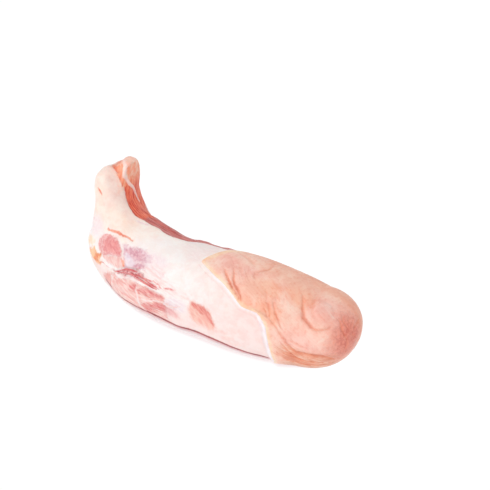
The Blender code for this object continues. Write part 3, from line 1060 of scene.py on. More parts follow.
# Y where the fat ends and the knife-cut lean behind the crest begins, at each station.
CUT_Y: Path = ((-80, 24), (-72, 18.5), (-69.5, 16), (-65.5, 15), (-61.5, 14), (-60, 12.5), (-57.5, 10.5),
               (-55, 9), (-51.5, 6.5), (-45.5, 7), (-40, 6), (-34, 5), (-30, 3), (-23.5, 3.5), (-20, 4.5),
               (-16.5, 6), (-13, 8), (-8, 11))
# Station where the lean of the upturned flap begins, at each height.
FLAP_CUT_X: Path = ((59, -62), (62, -63.5), (65, -65.5), (67.5, -67), (68.5, -69.5), (70, -73))
# The angle of the painted contact shadow, a dark red line where the near side turns under, at each station:
# partly the red underside, partly painted shade.
CONTACT: Path = ((-56, 102), (-48, 106), (-42, 105), (-30, 106), (-24, 104.5), (-14, 106), (-5, 109),
                 (1, 106), (11, 104.5), (21, 105.5), (30, 108.5), (38, 111), (43, 112), (48, 117))
# The white line between the two muscles of the upturned flap, in space.
SEAM = ((-65, 20.5, 73), (-63.5, 18.5, 72.5), (-62.5, 17, 71.5), (-62.5, 16, 69.5), (-62, 15.5, 66.5),
        (-61.5, 16, 64), (-60.5, 17, 60.5), (-59.5, 19.5, 56.5), (-59.5, 21.5, 51.5), (-58.5, 21.5, 48.5),
        (-57, 21.5, 47))
# Outlines of tones, as (station, angle) marks.
AREAS: dict[str, tuple[Path, ...]] = {
    "rose": (((-62.5, 33.5), (-58, 29), (-54.5, 29.5), (-51, 32), (-48.5, 38), (-46.5, 47), (-50.5, 49.5),
              (-54.5, 52.5), (-59, 59), (-62.5, 58.5), (-65.5, 53.5), (-65.5, 44)),),
    "rose_deep": (((-57.5, 33), (-51, 34), (-47, 46), (-52.5, 46.5), (-57.5, 50.5), (-59.5, 42.5)),),
    "pale": (((-59.5, 61), (-53.5, 53.5), (-47, 48), (-44, 47), (-42.5, 56.5), (-47, 62), (-53.5, 64)),),
    "mauve": (((-48, 33), (-42, 30.5), (-35, 28), (-31, 29.5), (-27.5, 32.5), (-27, 37.5), (-29, 41.5),
               (-29.5, 47), (-32.5, 50.5), (-36, 52), (-39, 53), (-40.5, 57.5), (-42.5, 55.5),
               (-45.5, 44.5)),),
    "purple": (((-45, 37.5), (-41, 31.5), (-36, 30), (-33.5, 32.5), (-31, 41.5), (-34.5, 42), (-38, 41),
                (-43.5, 39)),
               ((-36, 48), (-31.5, 44.5), (-30, 48.5), (-34, 51.5))),
    "bluewhite": (((-44, 38.5), (-38, 43), (-36, 47), (-40, 53.5), (-43, 48.5)),),
    "yellow": (((-75, 76.5), (-70, 59), (-68, 60), (-66, 65), (-61.5, 60), (-61.5, 65.5), (-63, 73.5),
                (-59.5, 71.5), (-63.5, 84), (-70, 95), (-73.5, 91.5)),),
    "orange": (((-67.5, 72.5), (-62, 59.5), (-61.5, 62.5), (-64.5, 71.5), (-64.5, 78.5), (-69.5, 90)),),
    "cream": (((-80, 60), (-76, 48), (-71, 48), (-69, 51), (-70, 58), (-76, 66)),),
    "edge_red": (((-59.5, 96), (-52, 75.5), (-50.5, 76.5), (-51.5, 86.5), (-51.5, 97), (-55, 99.5)),),
    "lower": (((-50, 74), (-45.5, 75), (-38.5, 67), (-32, 67), (-24.5, 67.5), (-15.5, 67), (-13.5, 73),
               (-14, 78.5), (-12.5, 83.5), (-12, 100), (-12, 108), (-24, 124), (-46, 124), (-54, 110)),),
    "fade": (((-14, 82.5), (-9.5, 81), (-6.5, 85), (-4.5, 90), (-12.5, 92.5)),),
    "salmon": (((-38, 73), (-32.5, 69.5), (-32, 77), (-35, 77.5)),
               ((-30.5, 73.5), (-24.5, 68.5), (-20, 71), (-20.5, 76.5), (-24.5, 76.5), (-30, 78)),
               ((-20.5, 71), (-15.5, 70), (-15, 75), (-18.5, 75.5)),
               ((-28.5, 94), (-24.5, 87), (-20.5, 85.5), (-15.5, 79.5), (-12.5, 83.5), (-15, 89.5),
                (-25, 101.5))),
    "bluish": (((-14, 74), (-9.5, 68), (-3.5, 67), (-0.5, 73), (-2, 82), (-6.5, 81), (-12.5, 81)),),
    "streaks": (((-30, 47.5), (-24.5, 41.5), (-18.5, 41), (-15, 49), (-8, 54.5), (-0.5, 56.5), (1.5, 59.5),
                 (-3, 64), (-9.5, 64.5), (-15.5, 63.5), (-23, 59), (-27.5, 54.5)),),
    "torn": (((-49, 68.5), (-45, 63), (-40.5, 57.5), (-36.5, 56), (-33, 54), (-29.5, 53.5), (-28, 56),
              (-30, 60), (-34, 61), (-38, 62), (-41.5, 66), (-45, 67)),),
    "patch": (((2, 62), (4, 60.5), (6.5, 63.5), (9, 62), (11, 65), (12.5, 63), (15, 67), (16, 74), (17.5, 80),
               (17.5, 85.5), (15, 90), (11.5, 88.5), (7, 88.5), (4, 86), (2, 79.5), (1, 71.5)),),
    "patch_deep": (((2.5, 62.5), (6.5, 64), (9.5, 63), (12.5, 65.5), (14.5, 68), (17, 80), (14.5, 80.5),
                    (11, 75), (7, 72.5), (3, 68.5)),),
    "stain": (((17, 86.5), (21.5, 83), (26, 84), (25, 87), (18.5, 92)),
              ((21, 95), (25, 89), (29, 89), (27.5, 94.5), (22.5, 98))),
    # Painted shade in the concave fold at the foot of the upturned flap, tinted orange.
    "tan": (((-54, 6.5), (-48, -0.5), (-47.5, 1), (-53, 9)),),
    "scuff": (((-16.5, -4), (-9, -26), (3, -18), (-3, 10.5), (-8.5, 22.5)),),
}
# Thin lines of a tone: half their width in mm and their (station, angle) marks.
LINES: dict[str, tuple[float, tuple[Path, ...]]] = {
    "slit": (0.8, (((-61, 26), (-58.5, 24.5), (-55, 23), (-52, 23), (-49, 22.5), (-45.5, 22.5), (-43, 23.5)),
                   ((-61.5, 26.5), (-60.5, 25.5), (-59.5, 25)),
                   ((-74.5, 3.5), (-73, 4.5), (-71, 5)),
                   ((-45.5, 50.5), (-44, 52.5), (-42.5, 56.5)))),
    "smear": (0.8, (((-48, -2), (-45, -4.5), (-41.5, -8)),
                    ((-74.5, 22), (-73, 22.5)),
                    ((-20, 44), (-17, 46), (-18, 49)))),
    "shreds": (0.5, (((-28.5, 57), (-24, 57.5), (-19.5, 57.5), (-16.5, 58.5)), ((-18, 59), (-16, 60)),
                     ((-14.5, 59), (-12.5, 58.5), (-10, 58.5), (-7.5, 57.5)),
                     ((-33.5, 64), (-28.5, 62.5), (-23.5, 63.5), (-19, 63.5)),
                     ((-26, 60), (-22.5, 61.5), (-19, 61)),
                     ((-63.5, 81.5), (-60.5, 73.5), (-57, 71), (-53, 69)))),
    "membrane": (0.6, (((-66, 42.5), (-62, 32), (-58, 26.5), (-53.5, 27), (-50, 31.5), (-47.5, 37.5),
                        (-45.5, 47), (-44.5, 49.5)),
                       ((-60.5, 68), (-56.5, 67.5), (-52, 67.5), (-48.5, 65.5), (-43.5, 59.5)),
                       ((-73.5, 73.5), (-69, 55.5), (-66.5, 46)),
                       ((-43, 69.5), (-38, 66.5), (-33.5, 64.5), (-28.5, 65), (-22.5, 66), (-18.5, 66.5)),
                       ((-32, 69.5), (-32, 77), (-30.5, 84), (-29.5, 92), (-28, 99.5), (-26, 103.5)),
                       ((-49.5, 77), (-50.5, 86), (-51, 100), (-47, 104.5)),
                       ((-28, 85.5), (-23, 83), (-18.5, 79.5), (-15, 76.5)))),
}
SLITS = LINES["slit"][1]
MEMBRANES = LINES["membrane"][1]


def spread(start: float, stop: float, count: int, busy: tuple[float, float], extra: float) -> np.ndarray:
    """Places from start to stop that lie closer together inside a busy range.

    Args:
        start: First place.
        stop: Last place.
        count: How many places.
        busy: The range with closer places.
        extra: How much closer: 0 leaves them even, 1 doubles their density.

    Returns:
        The places.
    """
    fine = np.linspace(start, stop, 2001)
    width = 0.06 * (stop - start)
    rise = ease((fine - busy[0] + width) / (2 * width)) * ease((busy[1] + width - fine) / (2 * width))
    weight = 1.0 + extra * rise
    total = np.concatenate([[0.0], np.cumsum((weight[1:] + weight[:-1]) / 2.0)])
    return np.interp(np.linspace(0.0, total[-1], count), total, fine)


def lengthwise(rings: np.ndarray, angle: np.ndarray) -> np.ndarray:
    """A place on the skin for lines that run along or round the tail.

    Args:
        rings: Rings of points.
        angle: Angle of each point.

    Returns:
        For each point the length along the tail in mm, the way round in about mm, and 0.
    """
    arc = np.cumsum(np.linalg.norm(np.diff(rings, axis=0, prepend=rings[:1]), axis=-1), axis=0)
    return np.stack([arc, angle * MM_PER_DEGREE, 0 * arc], -1)


@dataclass(frozen=True)
class KnifeCut:
    """The side that the knife laid open: the flap's lean, the lean strip along the crest, darkened with
    painted shade, and the pale cut.

    Limits are stations and heights in mm. A fade below 1 lets a border run out more slowly.
    """

    flap_x: Mark = (-73.5, -46.0)
    flap_low: float = 40.0
    flap_open: float = 60.0
    flap_top: float = 72.0
    foot_fade: float = 0.35
    end_fade: float = 0.3
    salmon_fade: float = 0.5
    pale_x: float = -61.0
    pale_low: float = 64.0
    fat_low: float = 44.0
    shade_reach: Mark = (5.0, 4.0)
    shade_low: float = 50.0
    shade_x: float = -50.0
    # Limits of the lean strip along the crest, which is painted dark with shade.
    strip_x: Mark = (-58.0, 4.0)
    strip_low: float = 34.0
    strip_width: float = 12.5
    strip_fade: float = 0.4
    cut_x: Mark = (-76.0, 22.0)
    cut_low: float = 26.0

    def masks(self, relief: Relief) -> dict[str, np.ndarray]:
        """Masks in mm, positive inside, for the finish.

        Args:
            relief: Measures of the points.

        Returns:
            The masks by name.
        """
        x, y, z = np.moveaxis(relief.loose, -1, 0)
        opened = z - self.flap_open
        past = np.maximum(y - along(x, CUT_Y), np.minimum(x - along(z, FLAP_CUT_X), opened))
        behind = y - along(x, relief.form.crest_y)
        start, stop = self.flap_x
        before, after = self.shade_reach
        flap = np.min([past, x - start, (z - self.flap_low) * self.foot_fade,
                       (stop - x) * self.end_fade], axis=0)
        return {
            "flap": np.minimum(z - self.fat_low, stop - x),
            "flap_shade": np.min([before + past, after - past, z - self.shade_low, self.shade_x - x], axis=0),
            "flap_red": flap,
            "flap_salmon": np.minimum(flap, opened * self.salmon_fade),
            "flap_pale": np.min([flap, x - self.pale_x, z - self.pale_low], axis=0),
            "flap_top": np.minimum(flap, z - self.flap_top),
            # The lean strip along the crest, painted dark: partly painted shade.
            "shaded_crest_lean": np.min([past, self.strip_width - behind, x - self.strip_x[0],
                             (self.strip_x[1] - x) * self.strip_fade, z - self.strip_low], axis=0),
            "cut": np.min([past, z - self.cut_low, self.cut_x[1] - x, x - self.cut_x[0]], axis=0),
        }


@dataclass
class FatSaddle:
    """The fat, the lean that shows in it and the cut butt end.

    Sizes, stations (x) and heights (low, z) are in mm and angles in degrees. A fade below 1 lets a
    border run out more slowly, and tuck holds how far the last rings reach under the rind and how deep.
    """

    form: TailForm
    around: int = 372
    rings: int = 256
    dense: int = 240
    shoulder: float = 8.0
    sunk: float = -0.5
    tuck: Path = ((0.35, -1.0), (3.0, -1.6))
    rim_width: float = 2.4
    rim_rise: float = 0.7
    # Half width of the painted shadow line along the rim's border follows.
    rim_shadow_half: float = 0.5
    rim_shown: Path = ((16, 0.0), (24, 0.4), (44, 0.5), (50, 0.5), (58, 1.0), (92, 1.05), (120, 0.7),
                       (150, 0.0))
    rim_most: float = 1.2
    seam_half: float = 0.85
    seam_reach: float = 1.4
    seam_low: float = 42.0
    seam_rise: float = 0.35
    seam_soft: float = 0.8
    lump_slope: float = 1.4
    facing: Mark = (0.45, 0.35)
    end_facing: float = 0.62
    end_sharp: float = 12.0
    end_from: Mark = (-74.0, 5.0)
    end_lean_mm: float = 6.0
    warm_middle: Mark = (-42.0, 2.0)
    warm_fades: Mark = (0.4, 0.7)
    warm_reach: float = 8.0
    # Where the painted shade on the lower fat begins: an angle, a station, and how fast it comes in along the
    # tail.
    low_shade_angle: float = 76.0
    low_shade_x: float = 9.0
    low_shade_fade: float = 0.35
    # Where the painted contact shadow runs along the tail, its half width and fade, and the painted shade
    # beside it.
    under_x: Mark = (-58.0, 47.0)
    under_half: float = 0.75
    under_fade: float = 0.5
    shade_half: float = 1.6
    shade_below: float = 1.2
    haze: tuple[Lobe, ...] = (Lobe(-71.0, 29.5, 7.0, 6.0), Lobe(-24.0, 38.0, 8.0, 6.0))
    strokes: tuple[Stroke, ...] = (
        Stroke(-0.8, 0.9, SLITS[0]), Stroke(-0.6, 0.9, SLITS[2]),
        Stroke(0.9, 1.1, ((-48.0, 68.0), (-42.5, 61.5), (-38.0, 59.0), (-34.0, 57.0), (-30.0, 56.0))),
        Stroke(-0.9, 0.9, ((-49.5, 69.5), (-44.0, 67.5), (-38.0, 63.5), (-32.0, 61.0), (-27.0, 60.0))),
        Stroke(-0.5, 0.8, ((-46.0, 60.0), (-41.0, 55.5), (-36.0, 53.5), (-31.0, 52.0))),
        Stroke(0.5, 0.9, MEMBRANES[1]), Stroke(0.4, 0.9, MEMBRANES[3]),
        Stroke(0.4, 1.0, MEMBRANES[4]), Stroke(0.35, 0.9, MEMBRANES[5]),
        Stroke(0.35, 0.9, MEMBRANES[6]), Stroke(-0.4, 1.2, MEMBRANES[0]),
        Stroke(-0.8, 1.6, ((-52.0, -32.0), (-36.0, -26.0), (-22.0, -22.0))),
        Stroke(-0.4, 1.1, ((-62.0, 59.5), (-56.0, 55.5), (-50.0, 50.5), (-45.5, 48.5))),
        Stroke(-0.35, 1.0, ((-47.5, 32.0), (-46.0, 40.0), (-43.5, 49.0), (-42.0, 56.0))),
        Stroke(-0.5, 0.9, ((-63.5, 82.5), (-60.5, 74.5), (-57.0, 72.0), (-52.0, 70.0))),
    )
    lumps: tuple[Lobe, ...] = (
        Lobe(-25.5, 73.0, 6.0, 2.6, 10.0, 0.4), Lobe(-21.0, 88.0, 7.0, 3.4, 10.0, 0.4),
        Lobe(-41.0, 83.0, 8.0, 3.0, 15.0, 0.35), Lobe(-38.0, 97.0, 9.0, 3.6, 5.0, 0.4),
        Lobe(-37.5, 35.5, 5.0, 3.0, 20.0, 0.4), Lobe(-30.5, 46.0, 3.5, 2.4, -20.0, 0.35),
        Lobe(-41.0, 46.0, 3.0, 4.5, 0.0, 0.35), Lobe(-66.5, 73.0, 4.0, 2.6, 0.0, 0.5),
        Lobe(-69.5, 84.0, 3.4, 2.2, 30.0, 0.4), Lobe(-73.5, -40.0, 9.0, 9.0, 0.0, -0.4),
    )

    def seam(self, relief: Relief) -> np.ndarray:
        """Signed distance in mm, seen along the tail, to the rim of the white line on the upturned flap."""
        marks = np.array(rounded(SEAM))
        x, z = relief.points[..., 0], relief.points[..., 2]
        distance, share = reach_to(relief.points[..., 1:], marks[:, 1:])
        half = self.seam_half * (0.55 + 0.45 * ends_thin(share))
        beyond = x - np.interp(z, marks[::-1, 2], marks[::-1, 0])
        return np.min([half - distance, self.seam_reach - np.abs(beyond), z - self.seam_low], axis=0)

    def height(self, relief: Relief, from_edge: np.ndarray, rim_share: np.ndarray) -> np.ndarray:
        """Height of the relief over the plain form, in mm.

        Args:
            relief: Measures of the points.
            from_edge: Distance from the rind's edge, in mm.
            rim_share: How strongly the rim beside the rind stands up.

        Returns:
            The height at each point.
        """
        height = self.sunk + self.rim_rise * rim_share * ease(1.0 - from_edge / self.rim_width)
        for stroke in self.strokes:
            height = height + stroke.height * relief.stroke(stroke)
        height = height + self.seam_rise * ease(self.seam(relief) / self.seam_soft + 0.3)
        for lobe in LOBES.values():
            height = height + lobe.height * relief.dome(lobe)
        for lobe in self.lumps:
            height = height + lobe.height * ease(relief.oval(lobe) / lobe.half_width * self.lump_slope)
        start, rise = self.facing
        facing = ease((-relief.normal[..., 0] - start) / rise)
        for *oval, bulge in END_LOBES:
            height = height + bulge * facing * ease(1.5 * self.end_oval(relief, *oval))
        return height

    def end_oval(self, relief: Relief, y: float, z: float, half_width: float,
                 half_height: float) -> np.ndarray:
        """An oval seen along the tail: 1 in its middle, 0 at its rim and negative outside."""
        across = (relief.points[..., 1] - y) / half_width
        return 1.0 - np.hypot(across, (relief.points[..., 2] - z) / half_height)

    def turned_under(self, x: np.ndarray, angle: np.ndarray) -> dict[str, np.ndarray]:
        """Masks in mm of the painted contact shadow where the near side turns under: the dark red line, the
        painted shade beside it and the shaded pale fat below it.
        """
        below = (angle - along(x, CONTACT)) * LOW_MM_PER_DEGREE
        within = np.minimum(self.under_x[1] - x, x - self.under_x[0]) * self.under_fade
        return {"dark_red_contact_shadow": np.minimum(self.under_half - np.abs(below), within),
                "under_shade": np.minimum(self.shade_half - np.abs(below - self.shade_below), within),
                "shaded_underside": np.minimum(below, within)}

    def masks(self, relief: Relief, angle: np.ndarray, from_edge: np.ndarray,
              rim_share: np.ndarray) -> dict[str, np.ndarray]:
        """Masks in mm, positive inside, for the finish.

        Args:
            relief: Measures of the points.
            angle: Angle of each point.
            from_edge: Distance from the rind's edge, in mm.
            rim_share: How clearly the white rim shows.

        Returns:
            The masks by name.
        """
        x, y, _ = np.moveaxis(relief.points, -1, 0)
        found = {name: np.max([relief.area(marks) for marks in outlines], axis=0)
                 for name, outlines in AREAS.items()}
        for name, (half, paths) in LINES.items():
            found[name] = np.max([relief.line(self.form.at(rounded(path)), half) for path in paths], axis=0)
        found.update(KnifeCut().masks(relief))
        found.update(self.turned_under(x, angle))
        found["seam"] = self.seam(relief)
        found["far_lean"] = np.max([relief.oval(LOBES[name]) for name in FAR_LEAN], axis=0)
        end_x, end_y = self.end_from
        facing = (-self.end_facing - relief.normal[..., 0]) * self.end_sharp
        end = np.min([facing, end_x - x, y - end_y], axis=0)
        end_lean = np.max([self.end_oval(relief, *oval) for *oval, _ in END_LOBES], axis=0)
        found["end_lean"] = np.minimum(end, self.end_lean_mm * end_lean)
        (warm_x, warm_y), (fade_x, fade_y) = self.warm_middle, self.warm_fades
        found["warm_fat"] = self.warm_reach - np.abs(x - warm_x) * fade_x - np.abs(y - warm_y) * fade_y
        found["haze"] = np.max([relief.oval(lobe) for lobe in self.haze], axis=0)
        # Painted shade: the fat pinker and darker below an angle and past a station.
        found["low_pink_shade"] = np.maximum((np.abs(angle) - self.low_shade_angle) * MM_PER_DEGREE,
                                    (x - self.low_shade_x) * self.low_shade_fade)
        found["rim"] = self.rim_width * rim_share - from_edge
        # Painted shadow: a thin darker line along the outer border of the white rim.
        found["rim_shadow_line"] = self.rim_shadow_half * rim_share - np.abs(from_edge - self.rim_width)
        return found

    def build(self, finish: bpy.types.Material) -> bpy.types.Object:
        """Build the piece.

        Args:
            finish: Its material.

        Returns:
            The piece.
        """
        form = self.form
        angle = spread(-180.0, 180.0, self.around + 1, NEAR_SIDE, 0.9)[:-1]
        edge_angle, edge = form.edge_columns(angle)
        first = form.butt_x + self.shoulder
        # The columns start straight and turn along the rind's edge on the last part of their way.
        share = spread(0.0, 1.0, self.dense, (0.0, 0.08), 4.0)[:, None]
        turning = angle + (edge_angle - angle) * ease((share - 0.6) / 0.4)
        tilt = np.linspace(-90.0, 0.0, self.dense)
        butt = form.profile(np.full((self.dense, self.around), first), tilt, angle)
        body = form.profile(first + (edge - first) * share, np.zeros(self.dense), turning)
        places = spread(0.0, 1.0, self.rings + 1, (0.16, 0.66), 0.5)
        rings = resample(np.concatenate([butt, body[1:]]), places)
        beyond, sunk = np.array(self.tuck).T
        tuck = form.profile(edge + beyond[:, None], np.zeros(len(sunk)), edge_angle)
        tuck_out = tuck + form.normals(tuck) * sunk[:, None, None]
        angles = form.angle_of(rings)
        from_edge = form.from_edge(rings)
        shown = np.clip(along(angles, self.rim_shown), 0.0, self.rim_most)
        rim_share = np.where(angles > self.rim_shown[0][0], shown, 0.0)
        relief = Relief(form, rings)
        rings_out = rings + relief.normal * self.height(relief, from_edge, rim_share)[..., None]
        inner = np.array([[edge.mean(), 0.0, form.core_z]])
        mesh = closed_mesh("fat_saddle", form.place(np.concatenate([rings_out[1:], tuck_out])),
                           form.place(rings_out[0, :1]), form.place(inner))
        masks = self.masks(relief, angles, from_edge, rim_share)
        masks["run"] = lengthwise(rings, angles)
        for name, values in masks.items():
            tucked = np.repeat(values[-1:], len(sunk), axis=0)
            write_attribute(mesh, name, np.concatenate([values[1:], tucked]))
        mesh.materials.append(finish)
        texture = surface_texture("fat_texture", finish, lump_mm=9.0, lump_height=0.35, fine_mm=2.6)
        return texture.apply(link("fat_saddle", mesh))


@dataclass(frozen=True)
class Wrinkles:
    """Fine wrinkles spread from one path to another."""

    first: Path
    last: Path
    count: int
    height: float
    half_width: float
    tint: float
    seed: int


@dataclass
class RindSleeve:
    """The rind on the tip half, with its cut edge, folds and wrinkles.

    lip holds (distance from the edge, height) pairs in mm. A gap is the distance from the edge at which
    a tone begins, and a fade below 1 lets its border run out more slowly.
    """

    form: TailForm
    around: int = 430
    rings: int = 216
    dense: int = 200
    shoulder: float = 2.0
    proud: float = 0.6
    lip: Path = ((-0.15, -0.9), (0.0, 0.15), (0.12, 0.38), (0.4, 0.54), (0.9, 0.6))
    lip_half: float = 0.28
    pale_streak_half: float = 0.35
    fold_from: float = 0.4
    # The low band below these angles is partly painted shade.
    low_from: Path = ((44.0, 108.0), (50.0, 92.0), (54.0, 82.0), (60.0, 85.0), (70.0, 84.0), (80.0, 84.0),
                      (84.0, 80.0))
    low_gap: float = 6.0
    low_fade: float = 0.4
    low_x: float = 81.0
    low_end_fade: float = 0.7
    # Where the painted shade near the floor begins: a height, a gap from the edge and a fade.
    bottom_z: float = 9.5
    bottom_gap: float = 9.0
    bottom_fade: float = 0.5
    # Angles of the painted shade along the top of the far side.
    far_top_shade: Mark = (-85.0, -22.0)
    tab: Mark = (-30.0, 14.0)
    cream_width: float = 1.5
    cream_tab_width: float = 2.2
    creases: tuple[Stroke, ...] = (
        Stroke(-1.1, 0.9, ((13.5, 15.5), (17.5, 23), (21, 29), (24, 34), (26.5, 38.5), (31, 47.5)), 1.0),
        Stroke(-0.9, 0.9, ((18.5, 13), (22, 24), (25.5, 31), (27.5, 36.5), (30.5, 44)), 0.9),
        Stroke(-0.4, 1.6, ((13, -17), (17.5, -14), (22, -8.5), (27, 0)), 0.45),
        Stroke(-0.5, 0.8, ((28.5, 7.5), (31.5, 0.5), (33.5, -7.5), (34.5, -22)), 0.5),
        Stroke(-0.35, 0.7, ((29, 6), (30, 12), (32, 15)), 0.4),
        Stroke(-0.5, 0.8, ((44.5, 31.5), (46, 38.5), (48.5, 47), (51, 55), (54.5, 62)), 0.65),
        Stroke(-0.4, 0.8, ((42, 33.5), (44, 40), (45.5, 50)), 0.6),
        Stroke(-0.35, 0.7, ((41.5, 40.5), (44.5, 49)), 0.55),
        Stroke(-0.3, 0.9, ((44.5, 19), (45, 28), (46, 36)), 0.4),
        Stroke(-0.4, 0.9, ((45.5, 51.5), (49.5, 58.5), (54.5, 70), (57.5, 78.5)), 0.5),
        Stroke(-0.9, 1.3, ((55.5, 5.5), (57.5, 17.5), (59, 29), (62, 38.5), (66, 46.5), (69.5, 48.5),
                           (73, 42.5), (75, 35.5)), 0.7),
        Stroke(-0.3, 1.6, ((61.5, -5), (61, 9.5), (63, 23.5), (66.5, 33.5)), 0.4),
        Stroke(-0.9, 1.3, ((55, 73), (57, 78.5), (60, 86), (65, 88.5), (71, 88), (76, 90.5), (80, 106)), 0.8),
        Stroke(-0.6, 0.9, ((53, 74), (56, 85), (60, 97), (65, 101), (71, 101.5), (76.5, 105.5)), 0.7),
        Stroke(-0.5, 0.9, ((76.5, 5), (79, 14.5), (81.5, 19)), 0.45),
        Stroke(-0.5, 0.9, ((75.5, 15), (79, 24.5), (81.5, 38.5), (83.5, 49.5)), 0.5),
        Stroke(-0.4, 0.9, ((83, -37.5), (83.5, -9.5), (83.5, 11)), 0.45),
        Stroke(-0.4, 0.9, ((83, 75), (83.5, 56.5), (83, 40)), 0.4),
        Stroke(-0.4, 0.8, ((85, 24.5), (83.5, 31)), 0.4),
    )
    pale_streaks: tuple[Path, ...] = (((71.5, 67), (73.5, 59), (75.5, 52.5)),
                                   ((71, 15), (73, 17.5), (74.5, 19.5)),
                                   ((72.5, 64), (74.5, 59)))
    families: tuple[Wrinkles, ...] = (
        Wrinkles(((11, -5), (16, 8), (20.5, 18), (24.5, 26)), ((22, -3), (25, 6), (28, 13), (31, 19)),
                 9, -0.2, 0.5, 0.3, 1),
        Wrinkles(((8.5, -6), (12, 6), (16.5, 16)), ((11.5, -8), (16.5, 4), (20, 14)), 4, -0.12, 0.5, 0.15, 2),
        Wrinkles(((34, 24), (37, 33), (40, 42)), ((47, 18), (49, 30), (50, 42)), 9, -0.15, 0.6, 0.2, 3),
        Wrinkles(((52, 79), (56, 89), (61, 97), (68, 101), (75, 103)),
                 ((49.5, 97), (55, 107), (62, 113), (69, 115), (76, 113)), 12, -0.32, 0.42, 0.85, 4),
        Wrinkles(((56, 75), (60, 80), (66, 83)), ((58, 69), (63, 75), (69, 78)), 3, -0.16, 0.6, 0.4, 5),
        Wrinkles(((78, -20), (80, 5), (81, 30)), ((84, -20), (85, 10), (84, 45)), 5, -0.2, 0.6, 0.25, 6),
    )
    bulge: Lobe = Lobe(67.5, 17.0, 7.5, 6.5, 20.0, 0.9)
    tints: tuple[tuple[str, Lobe], ...] = (
        ("light", Lobe(18.5, -13.0, 11.0, 5.0, 20.0)), ("light", Lobe(5.0, 8.0, 7.0, 6.0, 30.0)),
        ("light", Lobe(52.5, 24.5, 5.0, 8.0, 10.0)), ("light", Lobe(52.0, 48.5, 5.0, 6.0, 10.0)),
        ("pink", Lobe(67.0, 11.5, 9.0, 8.0, 20.0)), ("pink", Lobe(14.0, 6.0, 8.0, 6.0, 40.0)),
        ("pink", Lobe(26.0, 12.0, 6.0, 6.0, 40.0)), ("pink", Lobe(64.0, 72.0, 11.0, 5.0, 8.0)),
        ("warm", Lobe(31.0, 43.0, 5.0, 4.0, 10.0)), ("warm", Lobe(41.0, 42.5, 5.0, 5.0, 30.0)),
        ("warm", Lobe(46.0, 50.0, 4.0, 6.0, 20.0)), ("warm", Lobe(54.5, 10.5, 8.0, 6.0, 5.0)),
        ("warm", Lobe(40.0, 18.0, 6.0, 5.0, 20.0)),
        ("tan", Lobe(46.0, -10.0, 20.0, 6.0)), ("tan", Lobe(34.0, 24.0, 8.0, 6.0)),
        ("end", Lobe(83.5, 41.0, 9.5, 13.0)),
    )

    def folds(self, relief: Relief) -> tuple[np.ndarray, np.ndarray]:
        """Height of all creases and wrinkles in mm, and how strongly they are tinted, 0 to 1."""
        strokes = list(self.creases)
        for kin in self.families:
            strokes += [Stroke(kin.height, kin.half_width, marks, kin.tint)
                        for marks in fan(kin.first, kin.last, kin.count, kin.seed)]
        height = np.zeros(relief.points.shape[:2])
        tint = np.zeros_like(height)
        for stroke in strokes:
            strength = relief.stroke(stroke)
            height += stroke.height * strength
            tint = np.maximum(tint, stroke.tint * strength)
        return height, tint

    def masks(self, relief: Relief, angle: np.ndarray, from_edge: np.ndarray,
              tint: np.ndarray) -> dict[str, np.ndarray]:
        """Masks in mm, positive inside, for the finish.

        Args:
            relief: Measures of the points.
            angle: Angle of each point.
            from_edge: Distance from the rind's edge, in mm.
            tint: How strongly the folds are tinted, 0 to 1.

        Returns:
            The masks by name.
        """
        x, z = relief.points[..., 0], relief.points[..., 2]
        # The fold mask tints the creases darker orange: partly their own colour, partly painted shade in the
        # grooves.
        found = {"fine_down": np.full_like(x, FAR_AWAY), "fold": tint - self.fold_from,
                 "lip": self.lip_half - from_edge}
        for name, lobe in self.tints:
            inside = relief.oval(lobe)
            found[name] = np.maximum(found[name], inside) if name in found else inside
        # Thin lines painted paler than the skin round them.
        found["pale_streak"] = np.max([relief.line(self.form.at(rounded(path)), self.pale_streak_half)
                                   for path in self.pale_streaks], axis=0)
        # The low band: partly the rind's own orange-brown, partly painted shade on the lower side.
        found["low"] = np.min([(np.abs(angle) - along(x, self.low_from)) * LOW_MM_PER_DEGREE,
                               (from_edge - self.low_gap) * self.low_fade,
                               (self.low_x - x) * self.low_end_fade], axis=0)
        # Painted shade: the rind made dark brown close to the floor.
        found["near_floor_shade"] = np.minimum(self.bottom_z - z, (from_edge - self.bottom_gap) * self.bottom_fade)
        # Painted shade: a darker tone along the top of the far side.
        found["far_top_shade"] = np.minimum(self.far_top_shade[1] - angle, angle - self.far_top_shade[0]) * LOW_MM_PER_DEGREE
        tab = ease((self.tab[1] - angle) / 8.0) * ease((angle - self.tab[0]) / 10.0)
        found["cream_edge"] = self.cream_width + self.cream_tab_width * tab - from_edge
        return found

